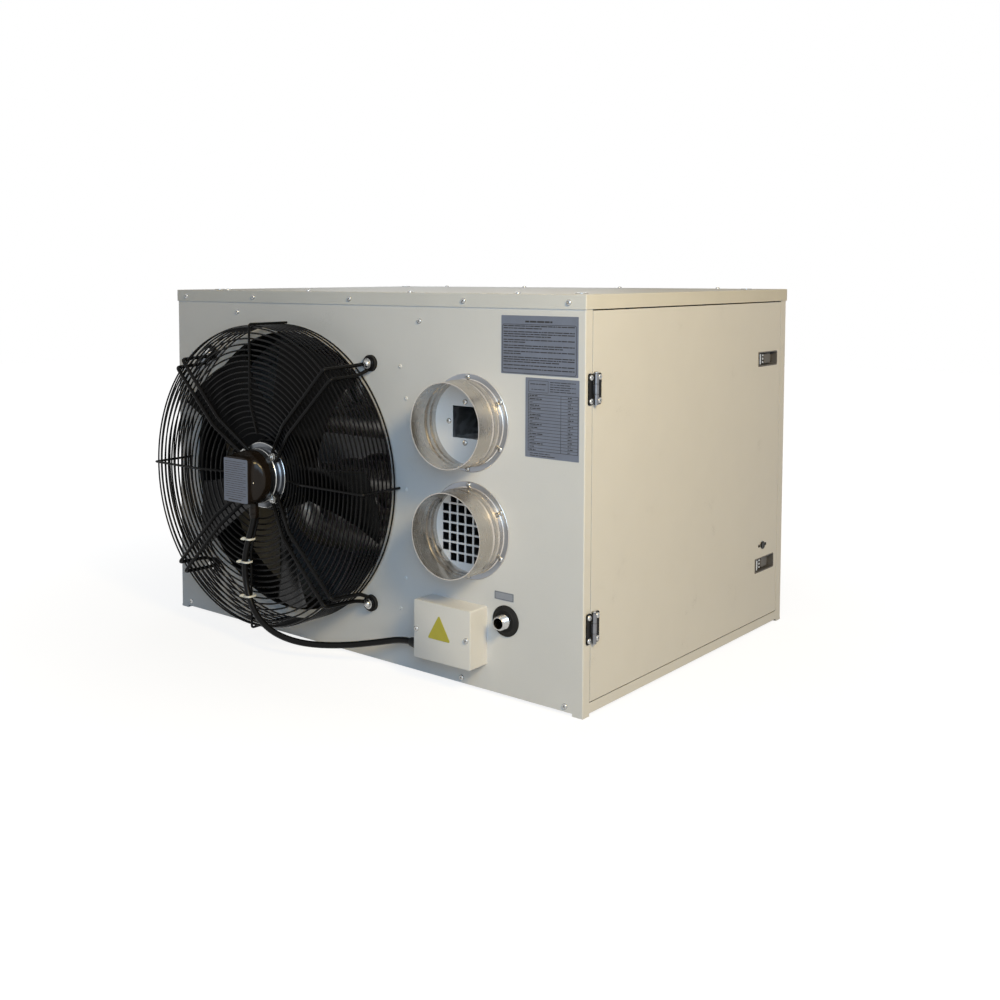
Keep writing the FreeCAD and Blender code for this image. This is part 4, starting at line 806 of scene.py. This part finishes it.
def make_gas_entry():
    """The black grommet and the threaded end of the gas pipe in it."""
    build = Build()
    build.lathe([(10.1, -4.6), (10.8, -5), (13, -5), (13.4, -4.5), (14, -4.5), (14.4, -5), (16.2, -5),
                 (16.9, -4.3), (17.5, -4.1), (18.8, -3.4), (19.4, -3.3), (20.8, -2.4), (22, -2), (22.5, -1.5),
                 (22.5, 0), (18, 0), (18, 1.5), (22.5, 1.6), (22.5, 3.4), (22, 4), (10.1, 4)],
                (GAS_X, 0, GAS_Z), steps=72)
    build.done("pipe_grommet", "casing", "black_rubber", [RUBBER], ["gas_grommet"])

    pipe = Build()
    pitch, steps, per_turn = 1.81, 48, 6
    start, end = -18.6, -5.4
    lines = int((end - start) / pitch * per_turn)
    rows = [circle(GAS_X, y, GAS_Z, radius, steps) for radius, y in ((8, 110), (8, -19), (9.2, -19))]
    for i in range(lines + 1):
        row = []
        for k in range(steps):
            turn = 2 * math.pi * k / steps
            y = start + (end - start) * i / lines
            phase = ((y - start) / pitch + k / steps) % 1
            radius = 9.45 + 1.03 * (1 - abs(2 * phase - 1)) * min(1, 0.3 + i / per_turn)
            row.append((GAS_X + radius * math.cos(turn), y, GAS_Z + radius * math.sin(turn)))
        rows.append(row)
    rows += [circle(GAS_X, y, GAS_Z, 9.98, steps) for y in (-5.3, 110)]
    pipe.skin(rows, wrap_rows=True, wrap_columns=True)
    pipe.done("threaded_pipe", "casing", "zinc_steel", [ZINC], ["gas_pipe"], angle=40)


# ---------------------------------------------------------------- door fittings

def knuckle(build, bore, start, end, z):
    """A hinge's barrel from start to end, either side of its middle height z."""
    build.lathe([(bore, start), (3.1, start), (3.5, start + 0.4), (3.5, end - 0.4), (3.1, end), (bore, end)],
                (WIDTH + HINGE_OUT, HINGE_Y, z), "Z", 32)


def make_hinges():
    """Two hinges: the frame's leaf has the middle knuckle, the door's leaf the outer two."""
    frame_side, door_side, pins = Build(), Build(), Build()
    leaf, barrel = 0, 1
    near, far = WIDTH + 0.3, WIDTH + LEAF
    for z in HINGES:
        low, high = z - LEAF_HALF, z + LEAF_HALF
        frame_side.coat = door_side.coat = leaf
        frame_side.slab(rounded(6, 17, low, high, 2.6), "X", WIDTH, far, 0.4)
        door_side.slab(rounded(25.5, 37.7, low, high, 2.6), "X", WIDTH, far, 0.4)
        frame_side.coat = door_side.coat = barrel
        knuckle(frame_side, 1.6, -KNUCKLE, KNUCKLE, z)
        frame_side.box((near, 16, z - KNUCKLE), (far, 20, z + KNUCKLE), 0.2)
        for start, end in ((-LEAF_HALF, -KNUCKLE - 0.3), (KNUCKLE + 0.3, LEAF_HALF)):
            knuckle(door_side, 1.66, start, end, z)
            door_side.box((near, 22, z + start), (far, 26, z + end), 0.2)
        pins.lathe([(0, -23.5), (1.2, -23.5), (1.6, -23), (1.6, 21.8), (2.6, 21.8), (2.9, 22.2), (2.9, 23.2),
                    (2.2, 23.8), (0, 23.8)], (WIDTH + HINGE_OUT, HINGE_Y, z), "Z", 24, closed=False)
    frame_side.done("frame_leaves", "casing", "black_paint", [WIRE, BARREL], ["frame_hinge_leaves"])
    door_side.done("door_leaves", "service_door", "black_paint", [WIRE, BARREL], ["door_hinge_leaves"])
    pins.done("pins", "casing", "bright_screw", [ZINC], ["hinge_pins"])


def make_latches():
    """Flush trays in the door, each with a slider: bolt, grip, bright catch and three rivets."""
    trays = Build()
    grey, bright, black = range(3)
    start = LATCH_START
    for name, z in LATCHES.items():
        low, high = z - LATCH_HALF, z + LATCH_HALF
        rows = []
        for inset, out in ((0, -13), (0, 0.5), (0.4, 0.9), (1.4, 0.9), (1.9, 0.4), (1.9, -11.1),
                           (2.3, -11.5)):
            rim = rounded(start + inset, LATCH_END - inset, low + inset, high - inset, 2.6 - inset * 0.6)
            rows.append([trays.lift(p, "X", WIDTH + out) for p in rim])
        trays.skin(rows, wrap_columns=True, caps=True)
        slider = Build()
        slider.coat = grey
        slider.slab(rounded(start + 3, start + 58, z - 9.8, z + 9.8, 2), "X", WIDTH - 11, WIDTH - 7.4, 0.4)
        slider.box((WIDTH - 10.8, start + 57, z - 6), (WIDTH - 7.6, DEPTH - 21.5, z + 6), 0.4)
        slider.slab(rounded(start + 33, start + 57, z - 8.6, z + 8.6, 3), "X", WIDTH - 7.6, WIDTH - 4.6, 1)
        slider.coat = bright
        slider.box((WIDTH - 7.6, start + 8, z - 8.8), (WIDTH - 1, start + 13, z + 8.8), 0.7)
        for up in (-6, 0, 6):
            slider.lathe([(0, -3.4), (1.4, -3.6), (2.3, -4.4), (2.6, -7.5), (0, -7.5)],
                         (WIDTH, start + 26, z + up), "X", 20, closed=False)
        slider.coat = black
        slider.slab(rounded(start + 3.6, start + 31, z - 9.2, z + 9.2, 2), "X", WIDTH - 7.5, WIDTH - 6.8, 0.2)
        slider.done(f"slide_{name}", f"{name}_latch", "black_plastic", [GREY_PLASTIC, ZINC, PLASTIC],
                    [f"latch_slider_{name}"])
    trays.done("latch_pans", "service_door", "black_plastic", [GREY_PLASTIC], ["latch_trays"])


def make_reset():
    """The thermostat behind the door's skin, its two rivets, and its button."""
    wall = WIDTH - SHEET
    steel, rivet = 0, 1
    stat = Build()
    stat.coat = steel
    stat.slab(rounded(RESET_Y - 16.5, RESET_Y + 16.5, RESET_Z - 8, RESET_Z + 8, 7.9, 8), "X",
              wall - 1.2, wall, 0.2)
    stat.lathe([(0, -10), (8.4, -10), (9, -9.4), (9, -1), (5.3, -1), (5.3, -6), (0, -6)],
               (wall, RESET_Y, RESET_Z), "X", 48, closed=False)
    stat.coat = rivet
    for side in (-1, 1):
        stat.lathe([(1.5, -SHEET), (1.5, 0), (2.7, 0), (2.6, 0.5), (1.9, 1), (0.9, 1.1), (0.7, 0.6),
                    (0, 0.5)], (WIDTH, RESET_Y + side * 12.4, RESET_Z), "X", 24, closed=False)
    stat.done("limit_stat", "service_door", "zinc_steel", [GALVANISED, BRONZE], ["reset_thermostat"])
    button = Build()
    button.lathe([(0, -3.4), (4.9, -3.4), (4.9, 2), (6.2, 2), (6.4, 2.3), (6.4, 3.5), (5.9, 4), (4, 4),
                  (3.6, 3.6), (0, 3.5)], (wall, RESET_Y, RESET_Z), "X", 48, closed=False)
    button.done("press_button", "reset", "black_plastic", [PLASTIC], ["reset_button"])


# ---------------------------------------------------------------- carried-over CAD nodes

def finish_cad():
    """Materials, and softened edges on the folded sheet parts."""
    louvres = [f"louvre_{i}" for i in range(1, 7)]
    coats = {
        DUSTY_PAINT: "top_lid",
        PAINT: "base_pan corner_feet fan_panel outlet_panel left_side_panel door " + " ".join(louvres),
        GALVANISED: "corner_posts partition flue_collector draught_housing burner_rack control_box",
        ZINC: "hanging_nuts",
        TUBE_STEEL: "heat_tubes",
        BURNER_STEEL: "burners",
        CAST_GREY: "gas_valve draught_wheel draught_motor",
        BRASS: "gas_manifold",
        BLUE_KNOB: "valve_knob",
        CREAM_PLASTIC: "pressure_switch terminal_block",
    }
    for coat, names in coats.items():
        for name in names.split():
            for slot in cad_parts[name].material_slots:
                slot.material = coat
    soft = {"base_pan": 0.4, "top_lid": 0.3, "door": 0.6, "control_box": 0.6, "gas_valve": 1.6,
            "valve_knob": 0.8, "left_side_panel": 0.3, "corner_feet": 0.8, "terminal_block": 0.5}
    soft.update(dict.fromkeys(louvres, 0.25))
    for name, width in soft.items():
        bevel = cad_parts[name].modifiers.new("soft_edges", "BEVEL")
        bevel.width, bevel.segments = width * MM, 2
        bevel.limit_method, bevel.angle_limit = "ANGLE", math.radians(40)
        bevel.use_clamp_overlap = True


# ---------------------------------------------------------------- light and floor

def area_lamp(name, place, aim, size, power, colour):
    data = bpy.data.lights.new(name, "AREA")
    data.shape, data.size, data.energy, data.color = "DISK", size, power, colour
    lamp = bpy.data.objects.new(name, data)
    lamp.location = place
    lamp.rotation_euler = (Vector(aim) - Vector(place)).to_track_quat("-Z", "Y").to_euler()
    bpy.context.scene.collection.objects.link(lamp)


def seen_ray(tree):
    """1 for camera, mirror and glass rays, which see the white background."""
    path = add(tree, "LightPath")
    total = math_node(tree, "ADD", path.outputs["Is Camera Ray"], path.outputs["Is Glossy Ray"])
    total = math_node(tree, "ADD", total, path.outputs["Is Transmission Ray"])
    return math_node(tree, "MINIMUM", total, 1.0)


def make_surroundings():
    """A warm lamp on the door's side, a cool one in front, a weak one behind, and a white room."""
    area_lamp("key", (1.80, -1.08, 1.42), aim=(0.2, -0.1, 0.3), size=0.5, power=30.5, colour=(1, 0.75, 0.35))
    area_lamp("fill", (1.2, -1.6, 0.9), aim=(0, 0, 0.3), size=1.1, power=14, colour=(0.50, 0.74, 1))
    area_lamp("back", (-1.5, 1.9, 1.1), aim=(0, 0.2, 0.25), size=1.3, power=9, colour=(0.84, 0.92, 1))
    world = bpy.data.worlds.new("room")
    world.use_nodes = True
    tree = world.node_tree
    background = tree.nodes["Background"]
    background.inputs["Color"].default_value = (1, 1, 1, 1)
    room_light = 0.1
    level = add(tree, "MapRange", {0: seen_ray(tree), 1: 0.0, 2: 1.0, 3: room_light, 4: 1.0}).outputs[0]
    tree.links.new(level, background.inputs["Strength"])
    bpy.context.scene.world = world

    half, level_z = 6, -0.0004
    mesh = bpy.data.meshes.new("floor")
    corners = [(x * half, y * half, level_z) for x, y in ((-1, -1), (1, -1), (1, 1), (-1, 1))]
    mesh.from_pydata(corners, [], [(0, 1, 2, 3)])
    floor = bpy.data.objects.new("floor", mesh)
    bpy.context.scene.collection.objects.link(floor)
    made = bpy.data.materials.new("floor")
    made.use_nodes = True
    tree = made.node_tree
    tree.nodes.remove(tree.nodes["Principled BSDF"])
    plain = add(tree, "BsdfDiffuse", {0: (0.55, 0.55, 0.55, 1)})
    lit = add(tree, "BsdfDiffuse", {0: (0.22, 0.22, 0.22, 1)})
    place = add(tree, "NewGeometry").outputs["Position"]
    away = add(tree, "VectorMath", {0: place}, operation="LENGTH").outputs["Value"]
    near, far, dimmest = 0.45, 1.2, 0.86
    level = add(tree, "MapRange", {0: away, 1: near, 2: far, 3: dimmest, 4: 1.0}).outputs[0]
    glow = add(tree, "Emission", {0: (1, 1, 1, 1), 1: level})
    bright = add(tree, "AddShader", {0: lit.outputs[0], 1: glow.outputs[0]})
    mixed = add(tree, "MixShader", {0: seen_ray(tree), 1: plain.outputs[0], 2: bright.outputs[0]})
    tree.links.new(mixed.outputs[0], tree.nodes["Material Output"].inputs["Surface"])
    mesh.materials.append(made)
    bpy.context.scene.view_settings.view_transform = "Standard"


make_camera()
lead = make_lead()
ties = make_ties()
make_bush()
make_guard()
make_guard_feet()
make_fan_ring()
make_motor()
make_impeller()
make_spigots()
make_screws()
make_junction_box()
make_plates()
make_gas_entry()
make_hinges()
make_latches()
make_reset()
finish_cad()
make_surroundings()
